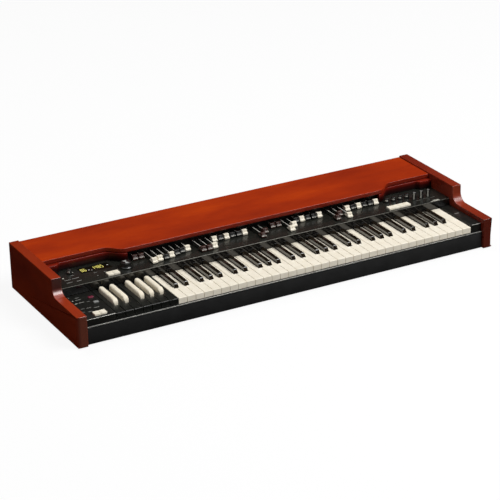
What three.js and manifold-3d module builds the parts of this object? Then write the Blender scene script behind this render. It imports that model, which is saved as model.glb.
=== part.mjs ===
// A portable tonewheel organ in a wooden table-top case: one manual of 61 playing keys and a
// block of 12 preset keys, two pairs of nine drawbars with two pedal drawbars between them,
// rotary controls, rocker tabs, and a cover board with a scalloped front edge.
//
// Millimetres, +Z up, +Y away from the player. Inside the case the places are counted from the
// keyboard: x = 0 is the left edge of the first playing key, y = 0 is the plane of the key
// fronts and z = 0 is the top of the natural keys. The outer group moves that frame, so that
// the model's origin is the centre of its footprint on the table.

import * as THREE from "three";
import { mergeVertices } from "three/addons/utils/BufferGeometryUtils.js";
import Module from "manifold-3d";

const wasm = await Module();
wasm.setup();

// Driving dimensions of the case
const seatGap = 0.3;
const cutOverrun = 1;
const panelThickness = 26;
const keysBehindFront = 12.1;
const leftBlockWidth = 81.6;
const rightBlockWidth = 29.8;
const caseBottomDrop = 62.9;
const lowerShoulderRise = 17.6;
const shoulderSetback = 14.5;
const roomBehindRods = 15.5;
const coveRadius = 24;
const panelCornerRadius = 9;
const panelEdgeRadius = 2.5;
const footProtrusion = 3.5;
const footRadius = 14;
const footInset = 45;
const boardThickness = 12;

// Driving dimensions of the keyboard
const keyPitch = 23.5;
const keyGap = 1;
const keyVisibleLength = 147;
const skirtDepth = 21;
const keyBodyDepth = 12;
const keyWall = 2;
const keyTopWall = 3;
const keyFrontRadius = 2;
const keyDip = 10;
const sharpFront = 57;
const sharpNoseDepth = 5;
const presetNoseDepth = 14;
const presetFront = 44;
const sharpRise = 9.2;
const sharpBaseWidth = 12.8;
const sharpTopWidth = 9.8;
const sharpClearance = 1;
const sharpShift = 1.3;
const sharpBodyDrop = 9;
const sharpTopRadius = 1.6;
const presetTailRadius = 7;
const presetTailSetback = 9;
const octaves = 5;
const topKeyExtra = 2.5;
const hingeFromFront = 235;
const hingeDrop = 10;
const hingeRailDepth = 12;
const hingeRailThickness = 4;
const hingeRailGap = 0.6;
const livingHingeLength = 14;
const stemWidth = 8;
const stemDrop = 2;

// Driving dimensions of the panel, its controls and the drawbars
const panelRise = 23.6;
const riserSetback = 2.3;
const sheetThickness = 2;
const panelNoseRadius = 1.4;
const riserFoot = 1.5;
const drawbarPitch = 17.4;
const drawbarsPerSet = 9;
const setSpacing = 32.2;
const clickLength = 5.25;
const clickCount = 8;
const capDeckRoom = 17.7;
const capWidth = 14;
const capDepth = 13;
const capHeight = 12.2;
const capFootHeight = 4.6;
const capFootDepth = 4;
const capScoopDepth = 5.5;
const capClearance = 1.2;
const rodWidth = 5;
const rodHeight = 3.2;
const rodRise = 6.4;
const yokeDepth = 6;
const yokeRoom = 17.5;
const rodOverhang = 2;
const chassisSetback = 15;
const chassisWall = 2;
const tabPitch = 16.3;
const tabWidth = 15.7;
const tabDepth = 18;
const tabRise = 4.5;
const tabBodyDrop = 5;
const tabSideGap = 0.3;
const tabEndGap = 0.9;
const tabSetback = 9.7;
const knobLift = 0.5;
const shaftRadius = 3;
const shaftDrop = 8;

// Driving dimensions of the cover board
const coverThickness = 12.5;
const coverStepDown = 3.4;
const coverGap = 8.8;
const coverEdge = 1.3;
const coverOverlap = 1;
const capShowing = 10.5;
const recessDepth = 33.5;
const bayLeftMargin = 16.7;
const bayRightMargin = 12.2;
const scallopWidth = 58;
const fasciaThickness = 11;
const cornerBlockWidth = 31;
const cornerBlockDepth = 13;
const cornerScallopWidth = 15;

// Driving dimensions of the front rail and the end blocks
const railOuter = 4;
const railThickness = 3;
const railTopDrop = 17.2;
const railFootLift = 0.6;
const railFlangeDepth = 19;
const blockWall = 3;
const blockTopPlate = 14;
const leftBlockRise = 0.8;
const rightBlockRise = 5;

// Places worked out from the driving dimensions, from the keys outwards
const naturalsPerOctave = 7;
const octaveWidth = naturalsPerOctave * keyPitch;
const playingWidth = octaves * octaveWidth + keyPitch + topKeyExtra;
const presetLeft = -octaveWidth;
const leftBlockRight = presetLeft - keyGap;
const leftInner = leftBlockRight - leftBlockWidth - seatGap;

// Places across the panel, from the left side panel to the last knob
const volumeKnobInset = 59.4;
const displayInset = 85.4;
const displayWidth = 82;
const leftTabsInset = 135.8;
const vibratoKnobInset = 196.4;
const firstDrawbarInset = 234.1;
const pedalDrawbars = 2;
const rightTabsGap = 2.7;
const effectKnobInset = 22.4;
const effectKnobCount = 4;
const effectKnobPitch = 20.6;
const levelKnobGap = 11.2;
const levelKnobCount = 3;
const levelKnobPitch = 21.8;
const lastKnobMargin = 41;
const setSpan = (drawbarsPerSet - 1) * drawbarPitch;
const firstDrawbarX = leftInner + firstDrawbarInset;
const setStarts = { upperA: firstDrawbarX };
setStarts.upperB = setStarts.upperA + setSpan + setSpacing;
setStarts.pedal = setStarts.upperB + setSpan + setSpacing;
setStarts.lowerA = setStarts.pedal + (pedalDrawbars - 1) * drawbarPitch + setSpacing;
setStarts.lowerB = setStarts.lowerA + setSpan + setSpacing;
const lastDrawbarX = setStarts.lowerB + setSpan;
const rightTabsStart = lastDrawbarX + capWidth / 2 + rightTabsGap;
const effectKnobStart = rightTabsStart + effectKnobInset;
const levelKnobStart = effectKnobStart + (effectKnobCount - 1) * effectKnobPitch + levelKnobGap;
const controlsRight = levelKnobStart + (levelKnobCount - 1) * levelKnobPitch + lastKnobMargin;

// The case is as wide as the keys or the controls need, whichever is wider
const keysRight = playingWidth + keyGap + rightBlockWidth + seatGap;
const rightInner = Math.max(keysRight, controlsRight);
const leftOuter = leftInner - panelThickness;
const rightOuter = rightInner + panelThickness;
const clearLeft = leftInner + seatGap;
const clearRight = rightInner - seatGap;
const bayLeft = firstDrawbarX - bayLeftMargin;
const bayRight = lastDrawbarX + bayRightMargin;

// Places from front to back
const caseFront = -keysBehindFront;
const panelFront = keyVisibleLength + riserSetback;
const tabFront = panelFront + tabSetback;
const capHomeFront = panelFront + capDeckRoom + clickCount * clickLength;
const bayFront = capHomeFront + capShowing;
const recessFront = bayFront + recessDepth;
const cornerBlockFront = recessFront - cornerBlockDepth;
const shoulderStepDepth = panelFront - shoulderSetback;
const chassisFront = capHomeFront + capDepth + chassisSetback;
const yokeHome = chassisFront + chassisWall + yokeRoom + clickCount * clickLength + yokeDepth;
const chassisRear = yokeHome + yokeDepth + yokeRoom;
const rodHomeEnd = chassisRear + chassisWall + clickCount * clickLength + rodOverhang;
const backPanelFront = rodHomeEnd + roomBehindRods;
const caseBack = backPanelFront + boardThickness;

// Heights
const caseBottom = -caseBottomDrop;
const floorTop = caseBottom + boardThickness;
const seatFloor = floorTop + seatGap;
const capLow = panelRise + capClearance;
const coverUnder = capLow + capHeight + coverGap;
const coverRise = coverUnder + coverThickness;
const upperShoulderRise = coverRise + coverStepDown;

// Which naturals have a sharp to their right, with its shift as a share of the key pitch
const sharpOffsetShares = new Map([
  [0, -0.1],
  [1, 0.1],
  [3, -0.11],
  [4, 0],
  [5, 0.11],
]);

// Finishes
const redWood = { color: 0x8f2a0e, roughness: 0.38, metalness: 0 };
const blackSheet = { color: 0x191a19, roughness: 0.42, metalness: 0.2 };
const blackPlastic = { color: 0x121212, roughness: 0.35, metalness: 0 };
const ivoryPlastic = { color: 0xf0e8d4, roughness: 0.32, metalness: 0 };
const brownPlastic = { color: 0x2f1c16, roughness: 0.4, metalness: 0 };
const redPlastic = { color: 0xa01830, roughness: 0.35, metalness: 0 };
const greyPlastic = { color: 0x8a8c88, roughness: 0.45, metalness: 0 };
const steelSheet = { color: 0x9a9c9c, roughness: 0.4, metalness: 0.8 };
const boardGreen = { color: 0x1d4a2c, roughness: 0.5, metalness: 0 };
const darkGlass = { color: 0x20240c, roughness: 0.12, metalness: 0 };
const beechPly = { color: 0x6d5232, roughness: 0.7, metalness: 0 };

const outer = new THREE.Group();
outer.position.set(
  -(leftOuter + rightOuter) / 2,
  -(caseFront + caseBack) / 2,
  caseBottomDrop + footProtrusion,
);

// Turns a three.js geometry into a solid that can be joined and cut.
function solidOf(geometry) {
  geometry.deleteAttribute("normal");
  geometry.deleteAttribute("uv");
  const merged = mergeVertices(geometry, 1e-4);
  return new wasm.Manifold(
    new wasm.Mesh({
      numProp: 3,
      vertProperties: merged.attributes.position.array,
      triVerts: new Uint32Array(merged.index.array),
    }),
  );
}

// Makes one named mesh from a solid and adds it to the organ.
function addPiece(name, solid, finish) {
  const mesh = solid.getMesh();
  const corners = mesh.vertProperties;
  const stride = mesh.numProp;
  const positions = new Float32Array((corners.length / stride) * 3);
  for (let i = 0; i < corners.length / stride; i += 1)
    positions.set(corners.subarray(i * stride, i * stride + 3), i * 3);
  const geometry = new THREE.BufferGeometry();
  geometry.setAttribute("position", new THREE.BufferAttribute(positions, 3));
  geometry.setIndex(new THREE.BufferAttribute(new Uint32Array(mesh.triVerts), 1));
  geometry.computeVertexNormals();
  const piece = new THREE.Mesh(geometry, new THREE.MeshStandardMaterial(finish));
  piece.name = name;
  outer.add(piece);
  return piece;
}

function fuse(solids) {
  return solids.reduce((whole, next) => whole.add(next));
}

function box(x0, x1, y0, y1, z0, z1) {
  const geometry = new THREE.BoxGeometry(x1 - x0, y1 - y0, z1 - z0);
  geometry.translate((x0 + x1) / 2, (y0 + y1) / 2, (z0 + z1) / 2);
  return solidOf(geometry);
}

// A plan outline in x and y, raised from z0 to z1; the edge option chamfers its rims.
function planPrism(shape, z0, z1, edge = 0, steps = 8) {
  const geometry = new THREE.ExtrudeGeometry(shape, {
    depth: z1 - z0 - 2 * edge,
    bevelEnabled: edge > 0,
    bevelThickness: edge,
    bevelSize: edge,
    bevelOffset: -edge,
    bevelSegments: 2,
    curveSegments: steps,
  });
  geometry.translate(0, 0, z0 + edge);
  return solidOf(geometry);
}

// A side outline in y and z, drawn along x from x0 to x1.
function sidePrism(shape, x0, x1, steps = 6) {
  const geometry = new THREE.ExtrudeGeometry(shape, {
    depth: x1 - x0,
    bevelEnabled: false,
    curveSegments: steps,
  });
  const turn = new THREE.Matrix4().makeBasis(
    new THREE.Vector3(0, 1, 0),
    new THREE.Vector3(0, 0, 1),
    new THREE.Vector3(1, 0, 0),
  );
  geometry.applyMatrix4(turn);
  geometry.translate(x0, 0, 0);
  return solidOf(geometry);
}

// A front outline in x and z, drawn along y from y0 to y1.
function frontPrism(shape, y0, y1, steps = 4) {
  const geometry = new THREE.ExtrudeGeometry(shape, {
    depth: y1 - y0,
    bevelEnabled: false,
    curveSegments: steps,
  });
  geometry.rotateX(Math.PI / 2);
  geometry.translate(0, y1, 0);
  return solidOf(geometry);
}

// A closed outline through the given points.
function outline(points) {
  return new THREE.Shape(points.map(([u, v]) => new THREE.Vector2(u, v)));
}

function postZ(x, y, radius, z0, z1, sides = 12) {
  const geometry = new THREE.CylinderGeometry(radius, radius, z1 - z0, sides);
  geometry.rotateX(Math.PI / 2);
  geometry.translate(x, y, (z0 + z1) / 2);
  return solidOf(geometry);
}

function postY(x, z, radius, y0, y1, sides = 16) {
  const geometry = new THREE.CylinderGeometry(radius, radius, y1 - y0, sides);
  geometry.translate(x, (y0 + y1) / 2, z);
  return solidOf(geometry);
}

// A turned piece about a vertical axis; the profile runs from the axis back to the axis.
function turned(x, y, profile, sides = 14) {
  const points = profile.map(([r, z]) => new THREE.Vector2(r, z));
  const geometry = new THREE.LatheGeometry(points, sides);
  geometry.rotateX(Math.PI / 2);
  geometry.translate(x, y, 0);
  return solidOf(geometry);
}

// Wooden case
function sideProfile() {
  const step = shoulderStepDepth;
  const r = panelEdgeRadius;
  const shape = new THREE.Shape();
  shape.moveTo(caseFront, caseBottom);
  shape.lineTo(caseBack, caseBottom);
  shape.lineTo(caseBack, upperShoulderRise - r);
  shape.absarc(caseBack - r, upperShoulderRise - r, r, 0, Math.PI / 2, false);
  shape.absarc(step + r, upperShoulderRise - r, r, Math.PI / 2, Math.PI, false);
  shape.lineTo(step, lowerShoulderRise + coveRadius);
  shape.absarc(step - coveRadius, lowerShoulderRise + coveRadius, coveRadius, 0, -Math.PI / 2, true);
  shape.absarc(caseFront + r, lowerShoulderRise - r, r, Math.PI / 2, Math.PI, false);
  shape.lineTo(caseFront, caseBottom);
  return shape;
}

// Plan of a side panel: square against the inside, round at its two outer corners.
function panelPlan(inner, side) {
  const outerFace = inner + side * panelThickness;
  const arcX = outerFace - side * panelCornerRadius;
  const points = [[inner, caseFront]];
  const arcSteps = 4;
  for (let i = 0; i <= arcSteps; i += 1) {
    const turn = ((i / arcSteps) * Math.PI) / 2;
    points.push([
      arcX + side * panelCornerRadius * Math.sin(turn),
      caseFront + panelCornerRadius * (1 - Math.cos(turn)),
    ]);
  }
  for (let i = 0; i <= arcSteps; i += 1) {
    const turn = ((i / arcSteps) * Math.PI) / 2;
    points.push([
      arcX + side * panelCornerRadius * Math.cos(turn),
      caseBack - panelCornerRadius * (1 - Math.sin(turn)),
    ]);
  }
  points.push([inner, caseBack]);
  return outline(side > 0 ? points : points.reverse());
}

function sidePanel(name, inner, side) {
  const low = Math.min(inner, inner + side * panelThickness);
  const bar = sidePrism(sideProfile(), low, low + panelThickness, 5);
  const plan = planPrism(panelPlan(inner, side), caseBottom - cutOverrun, upperShoulderRise + cutOverrun);
  addPiece(name, bar.intersect(plan), redWood);
}

// Adds the front line of the cover to a shape, from its left end to its right end.
function scallop(shape, x0, y0, x1, y1) {
  const middle = (x0 + x1) / 2;
  shape.bezierCurveTo(middle, y0, middle, y1, x1, y1);
}

function coverPlan() {
  const shape = new THREE.Shape();
  shape.moveTo(clearLeft, recessFront);
  shape.lineTo(bayLeft - scallopWidth, recessFront);
  scallop(shape, bayLeft - scallopWidth, recessFront, bayLeft, bayFront);
  shape.lineTo(bayRight, bayFront);
  scallop(shape, bayRight, bayFront, bayRight + scallopWidth, recessFront);
  shape.lineTo(clearRight, recessFront);
  shape.lineTo(clearRight, caseBack);
  shape.lineTo(clearLeft, caseBack);
  shape.closePath();
  return shape;
}

// Plan of the wall under one end of the cover, from the side panel to the drawbar bay.
function fasciaPlan(side) {
  const wall = side < 0 ? clearLeft : clearRight;
  const bay = side < 0 ? bayLeft : bayRight;
  const end = bay + side * seatGap * drawbarsPerSet;
  const inward = -side;
  const corner = wall + inward * cornerBlockWidth;
  const bend = corner + inward * cornerScallopWidth;
  const scallopStart = bay + side * scallopWidth;
  const rear = recessFront + fasciaThickness;
  const shape = new THREE.Shape();
  shape.moveTo(wall, cornerBlockFront);
  shape.lineTo(corner, cornerBlockFront);
  scallop(shape, corner, cornerBlockFront, bend, recessFront);
  shape.lineTo(scallopStart, recessFront);
  scallop(shape, scallopStart, recessFront, end, bayFront);
  shape.lineTo(end, bayFront + fasciaThickness);
  scallop(shape, end, bayFront + fasciaThickness, scallopStart, rear);
  shape.lineTo(wall, rear);
  shape.closePath();
  return shape;
}

function topCover() {
  const board = planPrism(coverPlan(), coverUnder, coverRise, coverEdge, 10);
  const foot = panelRise + seatGap;
  const left = planPrism(fasciaPlan(-1), foot, coverUnder + coverOverlap, 0, 6);
  const right = planPrism(fasciaPlan(1), foot, coverUnder + coverOverlap, 0, 6);
  addPiece("top_cover", fuse([board, left, right]), redWood);
}

function baseBoard() {
  const front = -railOuter + railThickness + seatGap;
  const board = box(clearLeft, clearRight, front, backPanelFront - seatGap, caseBottom, floorTop);
  const feet = [];
  for (const x of [leftInner + footInset, rightInner - footInset])
    for (const y of [caseFront + footInset, caseBack - footInset])
      feet.push(postZ(x, y, footRadius, caseBottom - footProtrusion, caseBottom + footProtrusion));
  addPiece("base_board", fuse([board, ...feet]), beechPly);
}

// Back of the case, with the opening for the sockets
const socketPlateInset = 33.6;
const socketPlateWidth = 240;
const socketPlateHeight = 48;
const socketPlateLift = 6.9;
const socketLap = 8;
const socketPlateRight = rightInner - socketPlateInset;
const socketPlateLeft = socketPlateRight - socketPlateWidth;
const socketPlateLow = floorTop + socketPlateLift;
const socketPlateHigh = socketPlateLow + socketPlateHeight;
const backTop = coverUnder - seatGap;

function backPanel() {
  const wall = box(clearLeft, clearRight, backPanelFront, caseBack, caseBottom, backTop);
  const opening = box(
    socketPlateLeft + socketLap,
    socketPlateRight - socketLap,
    backPanelFront - cutOverrun,
    caseBack + cutOverrun,
    socketPlateLow + socketLap,
    socketPlateHigh - socketLap,
  );
  addPiece("back_panel", wall.subtract(opening), redWood);
}

const jackCount = 4;
const jackPitch = 32;
const jackBore = 3.2;
const jackRadius = 5.5;
const jackCollar = 2.5;
const jackBody = 16;
const inletWidth = 28;
const inletHeight = 20;
const inletBody = 24;
const inletWall = 2;
const inletPin = 1.2;
const inletPinSetback = 8;

function socketPlate() {
  const back = backPanelFront - seatGap;
  const front = back - sheetThickness;
  const middle = (socketPlateLow + socketPlateHigh) / 2;
  const solids = [box(socketPlateLeft, socketPlateRight, front, back, socketPlateLow, socketPlateHigh)];
  const inletX = socketPlateRight - socketLap - inletWidth;
  const low = middle - inletHeight / 2;
  const high = middle + inletHeight / 2;
  solids.push(box(inletX - inletWidth / 2, inletX + inletWidth / 2, front - inletBody, back, low, high));
  const bores = [];
  for (let i = 0; i < jackCount; i += 1) {
    const x = socketPlateLeft + socketLap + jackPitch * (i + 1);
    solids.push(postY(x, middle, jackRadius, front - jackBody, back + jackCollar, 12));
    bores.push(postY(x, middle, jackBore, front - jackBody / 2, back + jackCollar + cutOverrun, 12));
  }
  const cavity = box(
    inletX - inletWidth / 2 + inletWall,
    inletX + inletWidth / 2 - inletWall,
    front - inletBody + inletWall,
    back + cutOverrun,
    low + inletWall,
    high - inletWall,
  );
  let plate = fuse(solids).subtract(fuse([cavity, ...bores]));
  for (const step of [-1, 0, 1]) {
    const x = inletX + (step * inletWidth) / 4;
    const z = middle + (step === 0 ? inletHeight / 8 : -inletHeight / 8);
    plate = plate.add(postY(x, z, inletPin, front - inletBody + inletPin, back - inletPinSetback, 6));
  }
  addPiece("socket_plate", plate, steelSheet);
}

function frontRail() {
  const outerFace = -railOuter;
  const innerFace = outerFace + railThickness;
  const flangeTop = seatFloor + railThickness;
  const shape = outline([
    [outerFace, caseBottom + railFootLift],
    [innerFace, caseBottom + railFootLift],
    [innerFace, seatFloor],
    [innerFace + railFlangeDepth, seatFloor],
    [innerFace + railFlangeDepth, flangeTop],
    [innerFace, flangeTop],
    [innerFace, -railTopDrop],
    [outerFace, -railTopDrop],
  ]);
  const wall = sidePrism(shape, clearLeft, clearRight);
  const leftNotch = box(
    clearLeft - cutOverrun,
    presetLeft + seatGap,
    innerFace + seatGap,
    innerFace + railFlangeDepth + cutOverrun,
    seatFloor - cutOverrun,
    flangeTop + cutOverrun,
  );
  const rightNotch = box(
    playingWidth - seatGap,
    clearRight + cutOverrun,
    innerFace + seatGap,
    innerFace + railFlangeDepth + cutOverrun,
    seatFloor - cutOverrun,
    flangeTop + cutOverrun,
  );
  addPiece("front_rail", wall.subtract(leftNotch).subtract(rightNotch), blackPlastic);
}

// Rocker tabs

function tabSolid(left, front, surface) {
  const right = left + tabWidth;
  const back = front + tabDepth;
  const top = surface + tabRise;
  const dish = tabRise / 5;
  const shape = new THREE.Shape();
  shape.moveTo(front, surface - tabBodyDrop);
  shape.lineTo(back, surface - tabBodyDrop);
  shape.lineTo(back, top - dish);
  shape.quadraticCurveTo(back, top, back - dish, top);
  shape.quadraticCurveTo((front + back) / 2, top - dish, front + dish, top);
  shape.quadraticCurveTo(front, top, front, top - dish);
  shape.closePath();
  return sidePrism(shape, left, right, 3);
}

function tabPocket(left, front, surface, depth) {
  return box(
    left - tabSideGap,
    left + tabWidth + tabSideGap,
    front - tabEndGap,
    front + tabDepth + tabEndGap,
    surface - depth,
    surface + cutOverrun,
  );
}

// Control panel with its folded front lip
const leftTabsStart = leftInner + leftTabsInset;
const leftTabCount = 2;
const rightTabCount = 4;
const displaySetback = 56.7;
const displayDepth = 32;
const displayLeft = leftInner + displayInset;
const displayRight = displayLeft + displayWidth;
const displayFront = panelFront + displaySetback;
const displayBack = displayFront + displayDepth;
const smallKnob = { radius: 7.2, height: 11, crown: 5.6 };
const tallKnob = { radius: 6, height: 20, crown: 5 };
const wideKnob = { radius: 16.5, height: 14, crown: 13 };
const effectKnobSetback = 60.7;
const levelKnobSetback = 40.7;
const volumeKnobSetback = 74.7;
const vibratoKnobSetback = 37.7;

const knobs = [
  { name: "volume_knob", x: leftInner + volumeKnobInset, y: panelFront + volumeKnobSetback, size: smallKnob },
  { name: "vibrato_knob", x: leftInner + vibratoKnobInset, y: panelFront + vibratoKnobSetback, size: wideKnob },
];
for (let i = 0; i < effectKnobCount; i += 1)
  knobs.push({
    name: "effect_knob_" + (i + 1),
    x: effectKnobStart + i * effectKnobPitch,
    y: panelFront + effectKnobSetback,
    size: smallKnob,
  });
for (let i = 0; i < levelKnobCount; i += 1)
  knobs.push({
    name: "level_knob_" + (i + 1),
    x: levelKnobStart + i * levelKnobPitch,
    y: panelFront + levelKnobSetback,
    size: tallKnob,
  });

const tabs = [];
for (let i = 0; i < leftTabCount; i += 1)
  tabs.push({ name: "drive_tab_" + (i + 1), left: leftTabsStart + i * tabPitch });
for (let i = 0; i < rightTabCount; i += 1)
  tabs.push({ name: "voice_tab_" + (i + 1), left: rightTabsStart + i * tabPitch });

function controlPanel() {
  const r = panelNoseRadius;
  const back = backPanelFront - seatGap;
  const shape = new THREE.Shape();
  shape.moveTo(panelFront, riserFoot);
  shape.lineTo(panelFront + sheetThickness, riserFoot);
  shape.lineTo(panelFront + sheetThickness, panelRise - sheetThickness);
  shape.lineTo(back, panelRise - sheetThickness);
  shape.lineTo(back, panelRise);
  shape.absarc(panelFront + r, panelRise - r, r, Math.PI / 2, Math.PI, false);
  shape.closePath();
  let sheet = sidePrism(shape, clearLeft, clearRight, 3);
  for (const knob of knobs)
    sheet = sheet.subtract(
      postZ(
        knob.x,
        knob.y,
        shaftRadius + seatGap,
        panelRise - sheetThickness - cutOverrun,
        panelRise + cutOverrun,
      ),
    );
  for (const tab of tabs)
    sheet = sheet.subtract(tabPocket(tab.left, tabFront, panelRise, sheetThickness + cutOverrun));
  const window = box(
    displayLeft - seatGap,
    displayRight + seatGap,
    displayFront - seatGap,
    displayBack + seatGap,
    panelRise - sheetThickness - cutOverrun,
    panelRise + cutOverrun,
  );
  addPiece("control_panel", sheet.subtract(window), blackSheet);
  addPiece(
    "display_window",
    box(displayLeft, displayRight, displayFront, displayBack, panelRise - sheetThickness, panelRise),
    darkGlass,
  );
}

function knobSolid(knob) {
  const { radius, height, crown } = knob.size;
  const low = panelRise + knobLift;
  const skirt = height / 5;
  const profile = [
    [0, panelRise - shaftDrop],
    [shaftRadius, panelRise - shaftDrop],
    [shaftRadius, low],
    [radius, low],
    [radius, low + skirt],
    [(radius + crown) / 2, low + skirt + skirt / 2],
    [crown, low + height - skirt / 2],
    [crown - skirt / 2, low + height],
    [0, low + height],
  ];
  return turned(knob.x, knob.y, profile);
}

// Blocks beside the keys; the left one carries the small tabs and two push buttons
const blockTabsInset = 51;
const blockTabsStart = leftBlockRight - blockTabsInset;
const blockTabsFront = 11;
const blockTabCount = 2;
const buttonWidth = 13;
const buttonDepth = 9;
const buttonRise = 2.6;
const buttonDrop = 5;
const pocketDepth = 9;
const buttonInset = 16;
const buttonX = leftBlockRight - buttonInset;
const splitButtonY = 83;
const buttonSpacing = 31;

const blockTabs = [];
for (let i = 0; i < blockTabCount; i += 1)
  blockTabs.push({ name: "block_tab_" + (i + 1), left: blockTabsStart + i * tabPitch });

const buttons = [
  { name: "record_button", y: splitButtonY + buttonSpacing, finish: redPlastic },
  { name: "split_button", y: splitButtonY, finish: greyPlastic },
];

function buttonBox(y, gap, low, high) {
  return box(
    buttonX - buttonWidth / 2 - gap,
    buttonX + buttonWidth / 2 + gap,
    y - buttonDepth / 2 - gap,
    y + buttonDepth / 2 + gap,
    low,
    high,
  );
}

// A block with a thick top plate and thin walls, open underneath.
function hollowBlock(left, right, top) {
  const back = panelFront - seatGap;
  const body = box(left, right, 0, back, seatFloor, top);
  const hollow = box(
    left + blockWall,
    right - blockWall,
    blockWall,
    back - blockWall,
    seatFloor - cutOverrun,
    top - blockTopPlate,
  );
  return body.subtract(hollow);
}

function endBlocks() {
  const top = leftBlockRise;
  let left = hollowBlock(clearLeft, leftBlockRight, top);
  for (const tab of blockTabs)
    left = left.subtract(tabPocket(tab.left, blockTabsFront, top, pocketDepth));
  for (const button of buttons)
    left = left.subtract(buttonBox(button.y, seatGap, top - pocketDepth, top + cutOverrun));
  addPiece("end_block_left", left, blackPlastic);
  addPiece(
    "end_block_right",
    hollowBlock(playingWidth + keyGap, clearRight, rightBlockRise),
    blackPlastic,
  );
  for (const tab of blockTabs)
    addPiece(tab.name, tabSolid(tab.left, blockTabsFront, top), ivoryPlastic);
  for (const button of buttons)
    addPiece(button.name, buttonBox(button.y, 0, top - buttonDrop, top + buttonRise), button.finish);
}

// Keyboard
const keyWidth = keyPitch - keyGap;
const cutHalf = sharpBaseWidth / 2 + sharpClearance;

// Centre of the sharp to the right of a natural, counted from the left end of its octave.
function sharpCentre(natural) {
  return (natural + 1 + sharpOffsetShares.get(natural)) * keyPitch + sharpShift;
}

// Where a natural's narrow rear part starts and ends, counted from the left of its octave.
function rearSpan(natural, last) {
  const start = natural * keyPitch + keyGap / 2;
  const end = start + keyWidth + (last ? topKeyExtra : 0);
  const hasLeft = natural > 0 && sharpOffsetShares.has(natural - 1);
  const hasRight = !last && sharpOffsetShares.has(natural);
  const rearStart = hasLeft ? sharpCentre(natural - 1) + cutHalf : start;
  const rearEnd = hasRight ? sharpCentre(natural) - cutHalf : end;
  return { start, end, rearStart, rearEnd };
}

// Side view of a natural: square front, flat top, thin tail and the living hinge.
function naturalProfile() {
  const r = keyFrontRadius;
  const tail = hingeFromFront - hingeRailDepth / 2;
  const hingeLow = -hingeDrop - hingeRailThickness;
  const bend = tail - livingHingeLength;
  const shape = new THREE.Shape();
  shape.moveTo(0, -skirtDepth);
  shape.lineTo(keyWall, -skirtDepth);
  shape.lineTo(keyWall + skirtDepth - keyBodyDepth, -keyBodyDepth);
  shape.lineTo(bend - keyBodyDepth, -keyBodyDepth);
  shape.lineTo(bend, hingeLow);
  shape.lineTo(tail + cutOverrun, hingeLow);
  shape.lineTo(tail + cutOverrun, -hingeDrop);
  shape.lineTo(bend, -hingeDrop);
  shape.lineTo(bend - keyBodyDepth, 0);
  shape.absarc(r, -r, r, Math.PI / 2, Math.PI, false);
  shape.closePath();
  return shape;
}

function naturalKey(left, natural, last, frontOfCut) {
  const span = rearSpan(natural, last);
  const x0 = left + span.start;
  const x1 = left + span.end;
  const r0 = left + span.rearStart;
  const r1 = left + span.rearEnd;
  const tail = hingeFromFront;
  const plan = outline([
    [x0, -cutOverrun],
    [x1, -cutOverrun],
    [x1, frontOfCut],
    [r1, frontOfCut],
    [r1, tail],
    [r0, tail],
    [r0, frontOfCut],
    [x0, frontOfCut],
  ]);
  const body = planPrism(plan, -skirtDepth - cutOverrun, cutOverrun);
  const side = sidePrism(naturalProfile(), x0 - cutOverrun, x1 + cutOverrun, 2);
  const hollowHead = box(
    x0 + keyWall,
    x1 - keyWall,
    keyWall,
    frontOfCut - keyWall,
    -skirtDepth - cutOverrun,
    -keyTopWall,
  );
  const hollowBody = box(
    r0 + keyWall,
    r1 - keyWall,
    frontOfCut - keyWall - cutOverrun,
    keyVisibleLength - keyWall,
    -skirtDepth - cutOverrun,
    -keyTopWall,
  );
  return body.intersect(side).subtract(hollowHead).subtract(hollowBody);
}

function hingeRail(left, right, top) {
  return box(
    left,
    right,
    hingeFromFront - hingeRailDepth / 2,
    hingeFromFront + hingeRailDepth / 2,
    top - hingeRailThickness,
    top,
  );
}

function naturalComb(name, left, count, finish, frontOfCut) {
  const keys = [];
  for (let i = 0; i < count; i += 1) {
    const last = i === naturalsPerOctave;
    keys.push(naturalKey(left, i, last, frontOfCut));
  }
  const right = left + count * keyPitch + (count > naturalsPerOctave ? topKeyExtra : 0);
  keys.push(hingeRail(left + keyGap / 2, right - keyGap / 2, -hingeDrop));
  addPiece(name, fuse(keys), finish);
}

// Side view of a sharp: sloping nose, flat top, a square or rounded tail, and its stem.
function sharpProfile(front, noseDepth, tailRadius, rear) {
  const shape = new THREE.Shape();
  const tail = hingeFromFront;
  const r = sharpTopRadius;
  const topFront = front + noseDepth;
  shape.moveTo(front, 0);
  shape.lineTo(front, -sharpBodyDrop);
  shape.lineTo(tail, -sharpBodyDrop);
  shape.lineTo(tail, -stemDrop);
  shape.lineTo(rear, -stemDrop);
  shape.lineTo(rear, sharpRise - tailRadius);
  shape.quadraticCurveTo(rear, sharpRise, rear - tailRadius, sharpRise);
  shape.lineTo(topFront + r, sharpRise);
  shape.quadraticCurveTo(topFront, sharpRise, topFront - r / 2, sharpRise - r);
  shape.closePath();
  return shape;
}

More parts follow.
